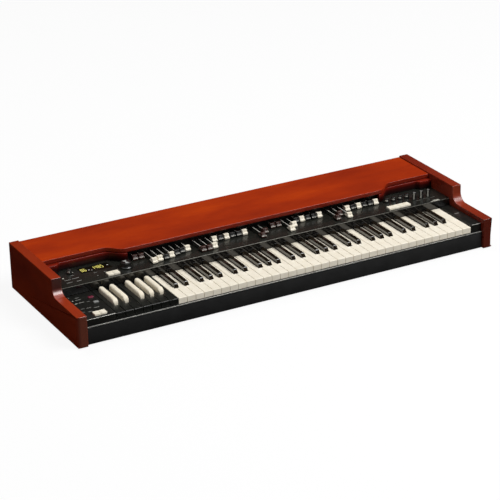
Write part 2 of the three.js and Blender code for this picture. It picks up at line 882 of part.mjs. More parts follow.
function sharpKey(centre, front, noseDepth, tailRadius, rear) {
  const half = sharpBaseWidth / 2;
  const topHalf = sharpTopWidth / 2;
  const r = sharpTopRadius;
  const section = new THREE.Shape();
  section.moveTo(centre - half, -sharpBodyDrop);
  section.lineTo(centre + half, -sharpBodyDrop);
  section.lineTo(centre + half, 0);
  section.lineTo(centre + topHalf, sharpRise - r);
  section.quadraticCurveTo(centre + topHalf, sharpRise, centre + topHalf - r, sharpRise);
  section.lineTo(centre - topHalf + r, sharpRise);
  section.quadraticCurveTo(centre - topHalf, sharpRise, centre - topHalf, sharpRise - r);
  section.lineTo(centre - half, 0);
  section.closePath();
  const bar = frontPrism(section, front - cutOverrun, hingeFromFront, 1);
  const side = sidePrism(
    sharpProfile(front, noseDepth, tailRadius, rear),
    centre - half - cutOverrun,
    centre + half + cutOverrun,
    2,
  );
  const tailGap = cutOverrun + half;
  const low = -sharpBodyDrop - cutOverrun;
  const leftCut = box(centre - tailGap, centre - stemWidth / 2, rear, hingeFromFront + cutOverrun, low, 0);
  const rightCut = box(centre + stemWidth / 2, centre + tailGap, rear, hingeFromFront + cutOverrun, low, 0);
  return bar.intersect(side).subtract(leftCut).subtract(rightCut);
}

function sharpComb(name, left, finish, front, noseDepth, tailRadius, rear) {
  const railTop = -hingeDrop + hingeRailGap + hingeRailThickness;
  const keys = [hingeRail(left + keyGap, left + octaveWidth - keyGap, railTop)];
  for (const natural of sharpOffsetShares.keys())
    keys.push(sharpKey(left + sharpCentre(natural), front, noseDepth, tailRadius, rear));
  addPiece(name, fuse(keys), finish);
}

function keyboard() {
  const clearFront = sharpFront - sharpClearance;
  const sharpRear = keyVisibleLength + sharpClearance;
  for (let octave = 0; octave < octaves; octave += 1) {
    const left = octave * octaveWidth;
    const count = octave === octaves - 1 ? naturalsPerOctave + 1 : naturalsPerOctave;
    const tag = "_octave_" + (octave + 1);
    naturalComb("natural_keys" + tag, left, count, ivoryPlastic, clearFront);
    sharpComb("sharp_keys" + tag, left, blackPlastic, sharpFront, sharpNoseDepth, sharpTopRadius, sharpRear);
  }
  naturalComb(
    "preset_natural_keys",
    presetLeft,
    naturalsPerOctave,
    blackPlastic,
    presetFront - sharpClearance,
  );
  sharpComb(
    "preset_sharp_keys",
    presetLeft,
    ivoryPlastic,
    presetFront,
    presetNoseDepth,
    presetTailRadius,
    keyVisibleLength - presetTailSetback,
  );
}

// Tray that carries the hinge rails, with a stop beam behind the front rail
const trayGap = 2;
const stopFelt = 2.5;
const stopBeamDepth = 12;
const hingeBeamDepth = 8;
const hingeCrestDepth = 3;
const trayFront = -railOuter + railThickness + railFlangeDepth + trayGap;
const stopBeamDrop = keyBodyDepth + keyDip + stopFelt;
const trayBack = hingeFromFront + hingeBeamDepth;

function keybed() {
  const crest = -hingeDrop - hingeRailThickness - seatGap;
  const floor = seatFloor + sheetThickness;
  const beam = hingeFromFront - hingeBeamDepth / 2;
  const crestFront = hingeFromFront - hingeCrestDepth / 2;
  const shape = outline([
    [trayFront, seatFloor],
    [trayBack, seatFloor],
    [trayBack, floor],
    [beam + hingeBeamDepth, floor],
    [beam + hingeBeamDepth, crest - hingeBeamDepth],
    [crestFront + hingeCrestDepth, crest],
    [crestFront, crest],
    [beam, crest - hingeBeamDepth],
    [beam, floor],
    [trayFront + stopBeamDepth, floor],
    [trayFront + stopBeamDepth, -stopBeamDrop],
    [trayFront, -stopBeamDrop],
  ]);
  addPiece("keybed_frame", sidePrism(shape, presetLeft + seatGap, playingWidth - seatGap), steelSheet);
}

// Drawbars
const rodLow = panelRise + rodRise - rodHeight / 2;
const rodHigh = rodLow + rodHeight;

// Each slide is the drawbars that one carriage moves; clicks are how far each stands pulled out.
const slides = [
  { name: "drawbars_a_1_2", set: "upperA", first: 0, clicks: [0, 0], finish: brownPlastic },
  { name: "drawbars_a_3_5", set: "upperA", first: 2, clicks: [8, 7, 7], finish: ivoryPlastic },
  { name: "drawbars_a_6_7", set: "upperA", first: 5, clicks: [6, 5], finish: ivoryPlastic },
  { name: "drawbars_a_8_9", set: "upperA", first: 7, clicks: [4, 3], finish: ivoryPlastic },
  { name: "drawbars_b_1_3", set: "upperB", first: 0, clicks: [8, 8, 7], finish: brownPlastic },
  { name: "drawbars_b_4_9", set: "upperB", first: 3, clicks: [0, 0, 0, 0, 0, 0], finish: ivoryPlastic },
  { name: "pedal_drawbar_1", set: "pedal", first: 0, clicks: [8], finish: brownPlastic },
  { name: "pedal_drawbar_2", set: "pedal", first: 1, clicks: [4], finish: brownPlastic },
  { name: "drawbars_c_1_2", set: "lowerA", first: 0, clicks: [0, 0], finish: brownPlastic },
  { name: "drawbars_c_3_4", set: "lowerA", first: 2, clicks: [8, 4], finish: ivoryPlastic },
  { name: "drawbars_c_5_9", set: "lowerA", first: 4, clicks: [0, 0, 0, 0, 0], finish: ivoryPlastic },
  { name: "drawbars_d_1_3", set: "lowerB", first: 0, clicks: [8, 4, 8], finish: brownPlastic },
  { name: "drawbars_d_4_9", set: "lowerB", first: 3, clicks: [0, 0, 0, 0, 0, 0], finish: ivoryPlastic },
];

// Side view of a drawbar cap: a foot in front, a scooped face that the finger pulls on, a flat top,
// and an underside that climbs to the rod.
function capProfile(front) {
  const back = front + capDepth;
  const foot = capLow + capFootHeight;
  const top = capLow + capHeight;
  const brow = capHeight - 2 * capFootHeight;
  const scoop = front + capScoopDepth;
  const shape = new THREE.Shape();
  shape.moveTo(front, capLow);
  shape.lineTo(front + capFootDepth, capLow);
  shape.lineTo(back, rodLow);
  shape.lineTo(back, top);
  shape.lineTo(scoop + brow / 2, top);
  shape.quadraticCurveTo(scoop, top, scoop - brow / 4, top - brow / 2);
  shape.quadraticCurveTo(scoop - brow / 2, foot + brow / 2, front, foot);
  shape.closePath();
  return shape;
}

function drawbarSlide(slide) {
  const start = setStarts[slide.set] + slide.first * drawbarPitch;
  const least = Math.min(...slide.clicks);
  const solids = [];
  slide.clicks.forEach((clicks, i) => {
    const x = start + i * drawbarPitch;
    const front = capHomeFront - clicks * clickLength;
    solids.push(sidePrism(capProfile(front), x - capWidth / 2, x + capWidth / 2, 2));
    const rodFront = front + capDepth / 2;
    const rodEnd = rodHomeEnd - clicks * clickLength;
    solids.push(box(x - rodWidth / 2, x + rodWidth / 2, rodFront, rodEnd, rodLow, rodHigh));
  });
  const yokeFront = yokeHome - least * clickLength;
  const last = start + (slide.clicks.length - 1) * drawbarPitch;
  solids.push(
    box(
      start - rodWidth / 2,
      last + rodWidth / 2,
      yokeFront,
      yokeFront + yokeDepth,
      rodLow,
      rodHigh + rodHeight,
    ),
  );
  addPiece(slide.name, fuse(solids), slide.finish);
}

function drawbarChassis() {
  const left = firstDrawbarX - capWidth;
  const right = lastDrawbarX + bayRightMargin;
  const low = panelRise + seatGap;
  const high = coverUnder - seatGap;
  const floor = box(left, right, chassisFront, chassisRear + chassisWall, low, low + chassisWall / 2);
  const front = box(left, right, chassisFront, chassisFront + chassisWall, low, high);
  const rear = box(left, right, chassisRear, chassisRear + chassisWall, low, rodHigh);
  let chassis = fuse([floor, front, rear]);
  for (const slide of slides)
    slide.clicks.forEach((clicks, i) => {
      const x = setStarts[slide.set] + (slide.first + i) * drawbarPitch;
      chassis = chassis.subtract(
        box(
          x - rodWidth / 2 - seatGap,
          x + rodWidth / 2 + seatGap,
          chassisFront - cutOverrun,
          chassisRear + chassisWall + cutOverrun,
          rodLow - seatGap,
          rodHigh + seatGap,
        ),
      );
    });
  addPiece("drawbar_chassis", chassis, blackSheet);
}

// Electronics under the panel
const boardInset = 127.4;
const boardWidth = 600;
const worksGap = 19;
const boardBackGap = 17.5;
const boardLeft = leftInner + boardInset;
const boardRight = boardLeft + boardWidth;
const worksFront = trayBack + worksGap;
const boardBack = backPanelFront - boardBackGap;
const boardSheet = 1.6;
const standoff = 7;
const standoffRadius = 3.5;
const standoffInset = 9;
const chipHeight = 3;
const chipSize = 26;
const chipCount = 6;
const sinkHeight = 16;
const sinkSize = 46;
const supplyInset = 99.6;
const supplyWidth = 130;
const supplyBackGap = 13.5;
const supplyHeight = 42;
const supplyRight = rightInner - supplyInset;
const supplyLeft = supplyRight - supplyWidth;
const supplyBack = backPanelFront - inletBody - supplyBackGap;
const ventCount = 6;
const ventWidth = 4;
const ventDepth = 3;

function electronics() {
  const low = seatFloor + standoff;
  const high = low + boardSheet;
  const solids = [box(boardLeft, boardRight, worksFront, boardBack, low, high)];
  for (const x of [boardLeft + standoffInset, (boardLeft + boardRight) / 2, boardRight - standoffInset])
    for (const y of [worksFront + standoffInset, boardBack - standoffInset])
      solids.push(postZ(x, y, standoffRadius, seatFloor, low + boardSheet / 2, 8));
  const chipPitch = (boardRight - boardLeft) / (chipCount + 1);
  for (let i = 0; i < chipCount; i += 1) {
    const x = boardLeft + chipPitch * (i + 1);
    const y = (worksFront + boardBack) / 2;
    const size = i === 1 ? sinkSize : chipSize;
    const rise = i === 1 ? sinkHeight : chipHeight;
    const under = high - boardSheet / 2;
    solids.push(box(x - size / 2, x + size / 2, y - size / 2, y + size / 2, under, high + rise));
  }
  addPiece("tone_generator_board", fuse(solids), boardGreen);

  const top = seatFloor + supplyHeight;
  let supply = box(supplyLeft, supplyRight, worksFront, supplyBack, seatFloor, top);
  const ventPitch = (supplyRight - supplyLeft) / (ventCount + 1);
  for (let i = 0; i < ventCount; i += 1) {
    const x = supplyLeft + ventPitch * (i + 1);
    supply = supply.subtract(
      box(
        x - ventWidth / 2,
        x + ventWidth / 2,
        worksFront + standoffInset,
        supplyBack - standoffInset,
        top - ventDepth,
        top + cutOverrun,
      ),
    );
  }
  addPiece("power_supply", supply, steelSheet);
}

sidePanel("side_panel_left", leftInner, -1);
sidePanel("side_panel_right", rightInner, 1);
topCover();
baseBoard();
backPanel();
socketPlate();
frontRail();
controlPanel();
endBlocks();
keybed();
keyboard();
drawbarChassis();
for (const slide of slides) drawbarSlide(slide);
for (const knob of knobs) addPiece(knob.name, knobSolid(knob), blackPlastic);
for (const tab of tabs) addPiece(tab.name, tabSolid(tab.left, tabFront, panelRise), ivoryPlastic);
electronics();

export default outer;
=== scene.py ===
"""Dresses a portable tonewheel organ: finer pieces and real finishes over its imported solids.

Places are written in millimetres in the keyboard's own frame: x = 0 is the left edge of the first
playing key, y = 0 the plane of the key fronts and z = 0 the top of the natural keys.
"""

from __future__ import annotations

import logging
import math
from collections.abc import Callable, Sequence
from dataclasses import dataclass
from enum import Enum
from itertools import product

import bpy
from mathutils import Matrix, Vector

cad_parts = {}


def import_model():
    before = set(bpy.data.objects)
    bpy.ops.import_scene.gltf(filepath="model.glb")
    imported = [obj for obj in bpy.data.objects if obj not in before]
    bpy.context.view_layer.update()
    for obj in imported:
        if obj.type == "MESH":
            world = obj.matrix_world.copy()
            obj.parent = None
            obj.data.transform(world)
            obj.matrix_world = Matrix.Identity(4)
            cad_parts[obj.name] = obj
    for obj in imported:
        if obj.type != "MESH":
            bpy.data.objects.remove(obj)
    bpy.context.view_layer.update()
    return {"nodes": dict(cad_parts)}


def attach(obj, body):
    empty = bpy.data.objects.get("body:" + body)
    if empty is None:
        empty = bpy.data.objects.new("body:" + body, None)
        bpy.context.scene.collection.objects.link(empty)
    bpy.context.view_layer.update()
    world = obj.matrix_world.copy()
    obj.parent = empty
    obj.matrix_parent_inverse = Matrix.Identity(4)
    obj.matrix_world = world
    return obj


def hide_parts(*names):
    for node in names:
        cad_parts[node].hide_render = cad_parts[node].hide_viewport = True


log = logging.getLogger("organ")
Object = bpy.types.Object
Socket = bpy.types.NodeSocket
Point = tuple[float, float]
Triple = tuple[float, float, float]
Quad = tuple[float, float, float, float]
Inputs = dict[str | int, float | tuple[float, ...] | Socket]

MM = 0.001
KEYBOARD_ORIGIN = Vector((316.1, 194.7, -66.4))
IMAGE_PIXELS = 500


def at(x: float, y: float, z: float) -> Vector:
    """Turns a place in the keyboard's frame, in mm, into the model's frame, in metres."""
    return (Vector((x, y, z)) - KEYBOARD_ORIGIN) * MM


def linear(code: str) -> Quad:
    """Turns an sRGB hex colour, with its hash sign, into linear light with an alpha of 1."""
    parts = [int(code[i : i + 2], 16) / 255 for i in (1, 3, 5)]
    lit = [c / 12.92 if c <= 0.04045 else ((c + 0.055) / 1.055) ** 2.4 for c in parts]
    return lit[0], lit[1], lit[2], 1.0


@dataclass
class Graph:
    """A shader's node tree and a short way to add each kind of node to it."""

    tree: bpy.types.NodeTree

    def feed(self, node: bpy.types.Node, inputs: Inputs) -> None:
        """Gives a node's inputs, by name or number, their values or links from output sockets."""
        for key, value in inputs.items():
            if isinstance(value, Socket):
                self.tree.links.new(value, node.inputs[key])
            else:
                node.inputs[key].default_value = value

    def node(self, kind: str, inputs: Inputs | None = None, **settings: str) -> bpy.types.Node:
        """Adds one node.

        Args:
            kind: The node's type name without the word ShaderNode.
            inputs: Values or output sockets, by the input's name or number.
            settings: Properties to set on the node.

        Returns:
            The new node.
        """
        node = self.tree.nodes.new("ShaderNode" + kind)
        for key, value in settings.items():
            setattr(node, key, value)
        self.feed(node, inputs or {})
        return node

    def noise(self, place: Socket, mm: float, detail: float, **more: float) -> Socket:
        """Adds noise with features of so many millimetres."""
        inputs = {"Vector": place, "Scale": 1 / (mm * MM), "Detail": detail, **more}
        return self.node("TexNoise", inputs).outputs["Fac"]

    def ramp(self, factor: Socket, *stops: tuple[float, str]) -> Socket:
        """Adds a colour ramp; its stops are positions with sRGB hex colours, in rising order."""
        ramp = self.node("ValToRGB", {"Fac": factor})
        elements = ramp.color_ramp.elements
        while len(elements) < len(stops):
            elements.new(0.5)
        for element, (position, code) in zip(elements, stops):
            element.position = position
            element.color = linear(code)
        return ramp.outputs["Color"]

    def mix(
        self, share: float | Socket, first: Quad | Socket, second: Quad | Socket, blend: str = "MIX"
    ) -> Socket:
        """Mixes a share of the second colour into the first."""
        inputs = {"Factor": share, 6: first, 7: second}
        return self.node("Mix", inputs, data_type="RGBA", blend_type=blend).outputs[2]

    def calc(self, operation: str, *values: float | Socket) -> Socket:
        """Adds one step of arithmetic."""
        return self.node("Math", dict(enumerate(values)), operation=operation).outputs[0]

    def span(self, value: Socket, to: Point = (0.0, 1.0), source: Point = (0.0, 1.0)) -> Socket:
        """Maps a value from one range to another and keeps it inside."""
        inputs = {"Value": value, "From Min": source[0], "From Max": source[1]}
        return self.node("MapRange", {**inputs, "To Min": to[0], "To Max": to[1]}).outputs["Result"]

    def stretch(self, place: Socket, scale: Triple) -> Socket:
        """Scales the space of a pattern; a small number draws the pattern out along its axis."""
        return self.node("Mapping", {"Vector": place, "Scale": scale}).outputs["Vector"]

    def part(self, vector: Socket, axis: str) -> Socket:
        """Takes X, Y or Z out of a vector."""
        return self.node("SeparateXYZ", {"Vector": vector}).outputs[axis]

    def bump(self, height: Socket, strength: float, mm: float) -> Socket:
        """Lets a pattern raise the surface by so many millimetres."""
        inputs = {"Height": height, "Strength": strength, "Distance": mm * MM}
        return self.node("Bump", inputs).outputs["Normal"]


# --------------------------------------------------------------------------------------------
# Finishes


@dataclass(frozen=True)
class Finish:
    """A real material and the way its surface was made."""

    name: str

    def material(self) -> bpy.types.Material:
        """Returns the Blender material, made at its first use."""
        known = bpy.data.materials.get(self.name)
        if known is not None:
            return known
        made = bpy.data.materials.new(self.name)
        made.use_nodes = True
        graph = Graph(made.node_tree)
        place = graph.node("TexCoord").outputs["Object"]
        graph.feed(made.node_tree.nodes["Principled BSDF"], self.paint(graph, place))
        return made

    def paint(self, graph: Graph, place: Socket) -> Inputs:
        """Adds the finish's own patterns and gives what its shader takes in.

        Args:
            graph: The node tree of the material.
            place: Places on the surface, in metres.

        Returns:
            The inputs of the principled shader.
        """
        raise NotImplementedError


class Grain(Enum):
    """The direction in which the wood's fibres run."""

    ACROSS = (0.045, 1.0, 1.0)
    BACKWARD = (1.0, 0.045, 1.0)


@dataclass(frozen=True)
class StainedCherry(Finish):
    """Cherry veneer on boards, stained red and sprayed with satin lacquer.

    The stain takes unevenly, which gives soft clouds a hand wide; the fibres show as fine darker
    lines. Faces that look forwards or backwards are darker, partly as sawn edges that drink more
    stain and partly as painted shade. A painted shade darkens a wall's foot nearly to black between
    two heights, and the step's face takes a painted tone of its own above and ahead of its edge:
    painted shade on the left panel, painted light on the right.
    """

    grain: Grain
    pale: str = "#B43C09"
    stain: str = "#A4320C"
    deep: str = "#912A0F"
    line: str = "#E3C4B4"
    # face and face_line colour the faces that look forwards or backwards: partly end grain, partly
    # painted shade
    face: str = "#7C200D"
    face_line: str = "#641607"
    fibre_mm: float = 1.6
    cloud_mm: float = 95.0
    roughness: float = 0.34
    gloss: float = 0.3
    relief: float = 0.1
    painted_foot_shade: Point | None = None
    painted_step_light_and_shade: str | None = None
    step_edge: Point = (200.0, 22.0)

    def paint(self, graph: Graph, place: Socket) -> Inputs:
        """Clouds of stain, fibre lines over them, dark end grain, painted shade and light, and
        lacquer.
        """
        cloudy = graph.stretch(place, tuple(0.35 if s < 1 else 1.0 for s in self.grain.value))
        clouds = graph.noise(cloudy, self.cloud_mm, 3.0, Roughness=0.55)
        along = graph.stretch(place, self.grain.value)
        fibres = graph.noise(along, self.fibre_mm, 4.0, Roughness=0.65, Distortion=0.4)
        colour = graph.ramp(clouds, (0.3, self.deep), (0.52, self.stain), (0.72, self.pale))
        lines = graph.ramp(fibres, (0.34, self.line), (0.6, "#FFFFFF"))
        colour = graph.mix(0.6, colour, lines, "MULTIPLY")
        # faces that look forwards or backwards get a darker colour: partly sawn edges that drink
        # more stain, partly painted shade
        normal = graph.node("NewGeometry").outputs["Normal"]
        cut = graph.calc("ABSOLUTE", graph.part(normal, "Y"))
        dark = graph.ramp(fibres, (0.3, self.face_line), (0.62, self.face))
        if self.painted_step_light_and_shade:
            # painted light and shade on the step's face: above and ahead of the step's edge it
            # takes its own colour, set per panel
            edge = at(0, *self.step_edge)
            upper = graph.calc("GREATER_THAN", graph.part(place, "Z"), edge.z)
            ahead = graph.calc("LESS_THAN", graph.part(place, "Y"), edge.y)
            dark = graph.mix(graph.calc("MULTIPLY", upper, ahead), dark, linear(self.painted_step_light_and_shade))
        colour = graph.mix(graph.span(cut, source=(0.6, 0.97)), colour, dark)
        if self.painted_foot_shade:
            # painted shade: the foot of the wall is darkened nearly to black, so that it melts into
            # the panel below
            low, high = (at(0, 0, z).z for z in self.painted_foot_shade)
            rise = graph.span(graph.part(place, "Z"), source=(low, high))
            foot = graph.ramp(rise, (0.0, "#1C1414"), (0.55, "#7A6060"), (1.0, "#FFFFFF"))
            colour = graph.mix(1.0, colour, foot, "MULTIPLY")
        return {
            "Base Color": colour,
            "Roughness": graph.span(clouds, (self.roughness - 0.05, self.roughness + 0.07)),
            "IOR": 1.5,
            "Specular IOR Level": self.gloss,
            "Normal": graph.bump(fibres, self.relief, 0.06),
        }


@dataclass(frozen=True)
class Moulded(Finish):
    """Injection-moulded ABS or a similar plastic.

    A moulding has an even colour with hardly visible flow clouds, and the fine spark-eroded grain
    of its mould; a polished mould leaves it glossy, and buffed keys carry a film of polish.
    """

    colour: str
    shade: str
    roughness: float = 0.35
    gloss: float = 0.5
    grain_mm: float = 0.5
    cloud_mm: float = 14.0
    relief: float = 0.1
    coat: float = 0.0

    def paint(self, graph: Graph, place: Socket) -> Inputs:
        """Two near shades in clouds, and a fine even grain."""
        clouds = graph.noise(place, self.cloud_mm, 2.0)
        grain = graph.noise(place, self.grain_mm, 1.0)
        return {
            "Base Color": graph.ramp(clouds, (0.35, self.shade), (0.65, self.colour)),
            "Roughness": graph.span(grain, (self.roughness - 0.04, self.roughness + 0.04)),
            "IOR": 1.53,
            "Specular IOR Level": self.gloss,
            "Coat Weight": self.coat,
            "Coat Roughness": self.roughness,
            "Normal": graph.bump(grain, self.relief, 0.03),
        }


@dataclass(frozen=True)
class CoatedSheet(Finish):
    """Folded steel sheet with a sprayed black coat: satin on the deck, polished on the riser.

    The coat has a faint orange peel; below the fold it is smooth enough to mirror the keys.
    """

    colour: str
    shade: str
    deck_roughness: float
    riser_roughness: float
    deck_gloss: float
    riser_gloss: float
    riser_colour: str = "#100F0E"
    fold_mm: float = 21.0
    peel_mm: float = 2.2
    cloud_mm: float = 1000 / 12

    def paint(self, graph: Graph, place: Socket) -> Inputs:
        """A near-black coat whose roughness falls below the height of the fold."""
        height, fold = graph.part(place, "Z"), at(0, 0, self.fold_mm).z
        clouds = graph.noise(place, self.cloud_mm, 3.0)
        sprayed = graph.ramp(clouds, (0.35, self.shade), (0.65, self.colour))
        above = graph.calc("GREATER_THAN", height, fold)
        bend = (fold - 1 * MM, fold + 1 * MM)
        return {
            "Base Color": graph.mix(above, linear(self.riser_colour), sprayed),
            "Roughness": graph.span(height, (self.riser_roughness, self.deck_roughness), bend),
            "Specular IOR Level": graph.span(height, (self.riser_gloss, self.deck_gloss), bend),
            "IOR": 1.5,
            "Normal": graph.bump(graph.noise(place, self.peel_mm, 1.0), 0.06, 0.03),
        }


@dataclass(frozen=True)
class BrushedMetal(Finish):
    """Aluminium or steel brushed along its length, which spreads highlights across the strokes."""

    colour: str
    shade: str
    roughness: float = 0.32
    stroke_mm: float = 0.6

    def paint(self, graph: Graph, place: Socket) -> Inputs:
        """Long thin strokes in colour, roughness and relief."""
        strokes = graph.noise(graph.stretch(place, (0.03, 1.0, 1.0)), self.stroke_mm, 3.0)
        return {
            "Base Color": graph.ramp(strokes, (0.3, self.shade), (0.7, self.colour)),
            "Metallic": 1.0,
            "Roughness": graph.span(strokes, (self.roughness - 0.08, self.roughness + 0.08)),
            "Normal": graph.bump(strokes, 0.08, 0.02),
        }


@dataclass(frozen=True)
class Ink(Finish):
    """Screen-printed ink: a thin matt layer, a little uneven where the screen's mesh showed."""

    colour: str
    shade: str
    glow: float = 0.0
    mesh_mm: float = 0.7

    def paint(self, graph: Graph, place: Socket) -> Inputs:
        """Small even blotches; a lit character also gives light."""
        blotches = graph.noise(place, self.mesh_mm, 2.0)
        colour = graph.ramp(blotches, (0.35, self.shade), (0.6, self.colour))
        light = {"Emission Color": colour, "Emission Strength": self.glow} if self.glow else {}
        return {"Base Color": colour, "Roughness": 0.6, "Specular IOR Level": 0.2, **light}


@dataclass(frozen=True)
class BirchPly(Finish):
    """Birch plywood, sanded and left raw: pale plies over each other, fibre lines on the face."""

    ply_mm: float = 1.5
    fibre_mm: float = 2.0

    def paint(self, graph: Graph, place: Socket) -> Inputs:
        """Plies by height, fibres along x."""
        thick = self.ply_mm * MM
        plies = graph.calc("PINGPONG", graph.part(place, "Z"), thick)
        fibres = graph.noise(graph.stretch(place, (0.05, 1.0, 0.2)), self.fibre_mm, 4.0)
        pale = graph.ramp(fibres, (0.3, "#8A6A42"), (0.7, "#A98655"))
        dark = graph.ramp(fibres, (0.3, "#6E5030"), (0.7, "#8A683E"))
        return {
            "Base Color": graph.mix(graph.span(plies, source=(0.0, thick)), pale, dark),
            "Roughness": 0.7,
            "Normal": graph.bump(fibres, 0.2, 0.1),
        }


@dataclass(frozen=True)
class CircuitLaminate(Finish):
    """Glass-epoxy board under green solder resist, with paler copper tracks showing through."""

    track_mm: float = 5.0

    def paint(self, graph: Graph, place: Socket) -> Inputs:
        """A lattice of tracks under a glossy green coat."""
        inputs = {"Vector": place, "Scale": 1 / (self.track_mm * MM)}
        cells = graph.node("TexVoronoi", inputs, feature="DISTANCE_TO_EDGE").outputs["Distance"]
        return {
            "Base Color": graph.ramp(cells, (0.04, "#2F6B40"), (0.1, "#174326")),
            "Roughness": 0.35,
            "Normal": graph.bump(cells, 0.1, 0.05),
        }


CHERRY_BOARD = StainedCherry("cherry_veneer_lacquered_board", Grain.ACROSS)
# the fascia's colours are darker than the board's: partly its own stain, partly painted shade under
# the cover; its foot gets painted shade
CHERRY_FASCIA = StainedCherry(
    "cherry_veneer_lacquered_fascia", Grain.ACROSS,
    pale="#842410", stain="#741A0B", deep="#621307", face="#761709", face_line="#5A0E05",
    painted_foot_shade=(25.0, 45.0),
)
# the left panel's finish; the step's face takes painted shade
CHERRY_PANEL = StainedCherry(
    "cherry_veneer_lacquered_panel", Grain.BACKWARD,
    pale="#A4360F", stain="#96300F", deep="#852812", face="#6E3626", face_line="#50271A",
    roughness=0.3, gloss=0.95, relief=0.03, painted_step_light_and_shade="#3A120A",
)
# a darker copy of the panel finish for the right panel: painted shade; its step face takes painted
# light
CHERRY_PANEL_SHADED = StainedCherry(
    "cherry_veneer_lacquered_panel_painted_shade", Grain.BACKWARD,
    pale="#963A1D", stain="#8A2F1A", deep="#7A2616", face="#5E2014", face_line="#46160C",
    roughness=0.27, gloss=1.0, relief=0.03, painted_step_light_and_shade="#80301A",
)
BIRCH = BirchPly("birch_plywood_sanded")
DECK_COAT = CoatedSheet(
    "steel_sheet_sprayed_black", "#22221E", "#1A1B18",
    deck_roughness=0.27, riser_roughness=0.1, deck_gloss=0.42, riser_gloss=0.8,
)
# a moulding's numbers: roughness, gloss, grain and clouds in mm, relief, film of polish
BLACK_ABS = Moulded("abs_black_satin", "#191916", "#131311", 0.36, 0.35)
RAIL_COAT = Moulded(
    "aluminium_powder_coated_black", "#292929", "#232323", 0.46, 0.3, 0.9, 40.0, 0.12
)
SHARP_ABS = Moulded("abs_black_polished_key", "#221B13", "#1A140E", 0.11, 1.0, 0.6, 10.0, 0.02, 0.5)
PRESET_ABS = Moulded("abs_black_moulded_key", "#1B1C19", "#151614", 0.3, 0.5, 0.6, 10.0, 0.05)
IVORY_ABS = Moulded("abs_ivory_polished_key", "#F4ECDB", "#EFE6D3", 0.28, 0.4, 0.8, 18.0, 0.03)
PRESET_IVORY = Moulded("abs_ivory_moulded_key", "#F1E8D4", "#E8DEC8", 0.42, 0.2, 0.6, 12.0, 0.05)
CAP_IVORY = Moulded("abs_ivory_moulded_cap", "#F1EAD9", "#E8DFCA", 0.38, 0.4, 0.5, 8.0, 0.08)
CAP_BROWN = Moulded("abs_brown_moulded_cap", "#3A211A", "#2E1914", 0.34, 0.4, 0.5, 8.0, 0.08)
CAP_BLACK = Moulded("abs_black_moulded_cap", "#161514", "#10100F", 0.34, 0.35, 0.5, 8.0, 0.08)
KNOB_PHENOLIC = Moulded(
    "phenolic_black_turned_knob", "#171615", "#121110", 0.3, 0.6, 0.5, 8.0, 0.08
)
BUTTON_RED = Moulded("silicone_red_button", "#74233A", "#611C2F", 0.42, 0.4, 0.5, 6.0, 0.1)
BUTTON_GREY = Moulded("silicone_grey_button", "#8C8E8C", "#787A78", 0.46, 0.35, 0.5, 6.0, 0.1)
RUBBER = Moulded("rubber_black_foot", "#1A1A1A", "#121212", 0.75, 0.2, 0.8, 8.0, 0.3)
WINDOW = Moulded("acrylic_smoked_window", "#14120A", "#0E0D07", 0.12, 0.45, 3.0, 30.0, 0.01)
TRIM = BrushedMetal("aluminium_brushed_trim", "#DAD9D3", "#C2C1BB", 0.5)
# a darker copy of the brushed aluminium for the strip along the panel's fold: painted shade
FOLD_TRIM_SHADED = BrushedMetal("aluminium_brushed_fold_strip_painted_shade", "#6A6862", "#585752", 0.5)
STEEL = BrushedMetal("steel_zinc_plated", "#A7A9A8", "#8C8E8E", 0.36, 1.2)
SHEET_PAINT = Moulded("steel_sheet_painted_grey", "#8D8F8F", "#818383", 0.48, 0.3, 0.9, 30.0, 0.15)
# the light grey line along each drawbar rod's top is a painted highlight of the rod's shine
ROD_PAINTED_HIGHLIGHT = Ink("painted_highlight_rod_face", "#B2AFA8", "#A19E97")
STRIP_INK = Ink("ink_white_cap_strip", "#BDBBB0", "#ABA99F")
WHITE_INK = Ink("ink_white_screen_printed", "#D9D8D2", "#BFBEB8")
SILVER_INK = Ink("ink_silver_pointer", "#A9A9A6", "#939390")
GREY_INK = Ink("ink_grey_screen_printed", "#8E8D88", "#777671")
DIM_INK = Ink("ink_dim_grey_screen_printed", "#5E5D59", "#4F4E4B")
BROWN_INK = Ink("ink_brown_cap_number", "#8A7C6A", "#766957")
LIT_INK = Ink("display_segment_lit", "#E6DE84", "#B8AC38", glow=0.6)
BOARD = CircuitLaminate("glass_epoxy_board_green")


# --------------------------------------------------------------------------------------------
# The bench


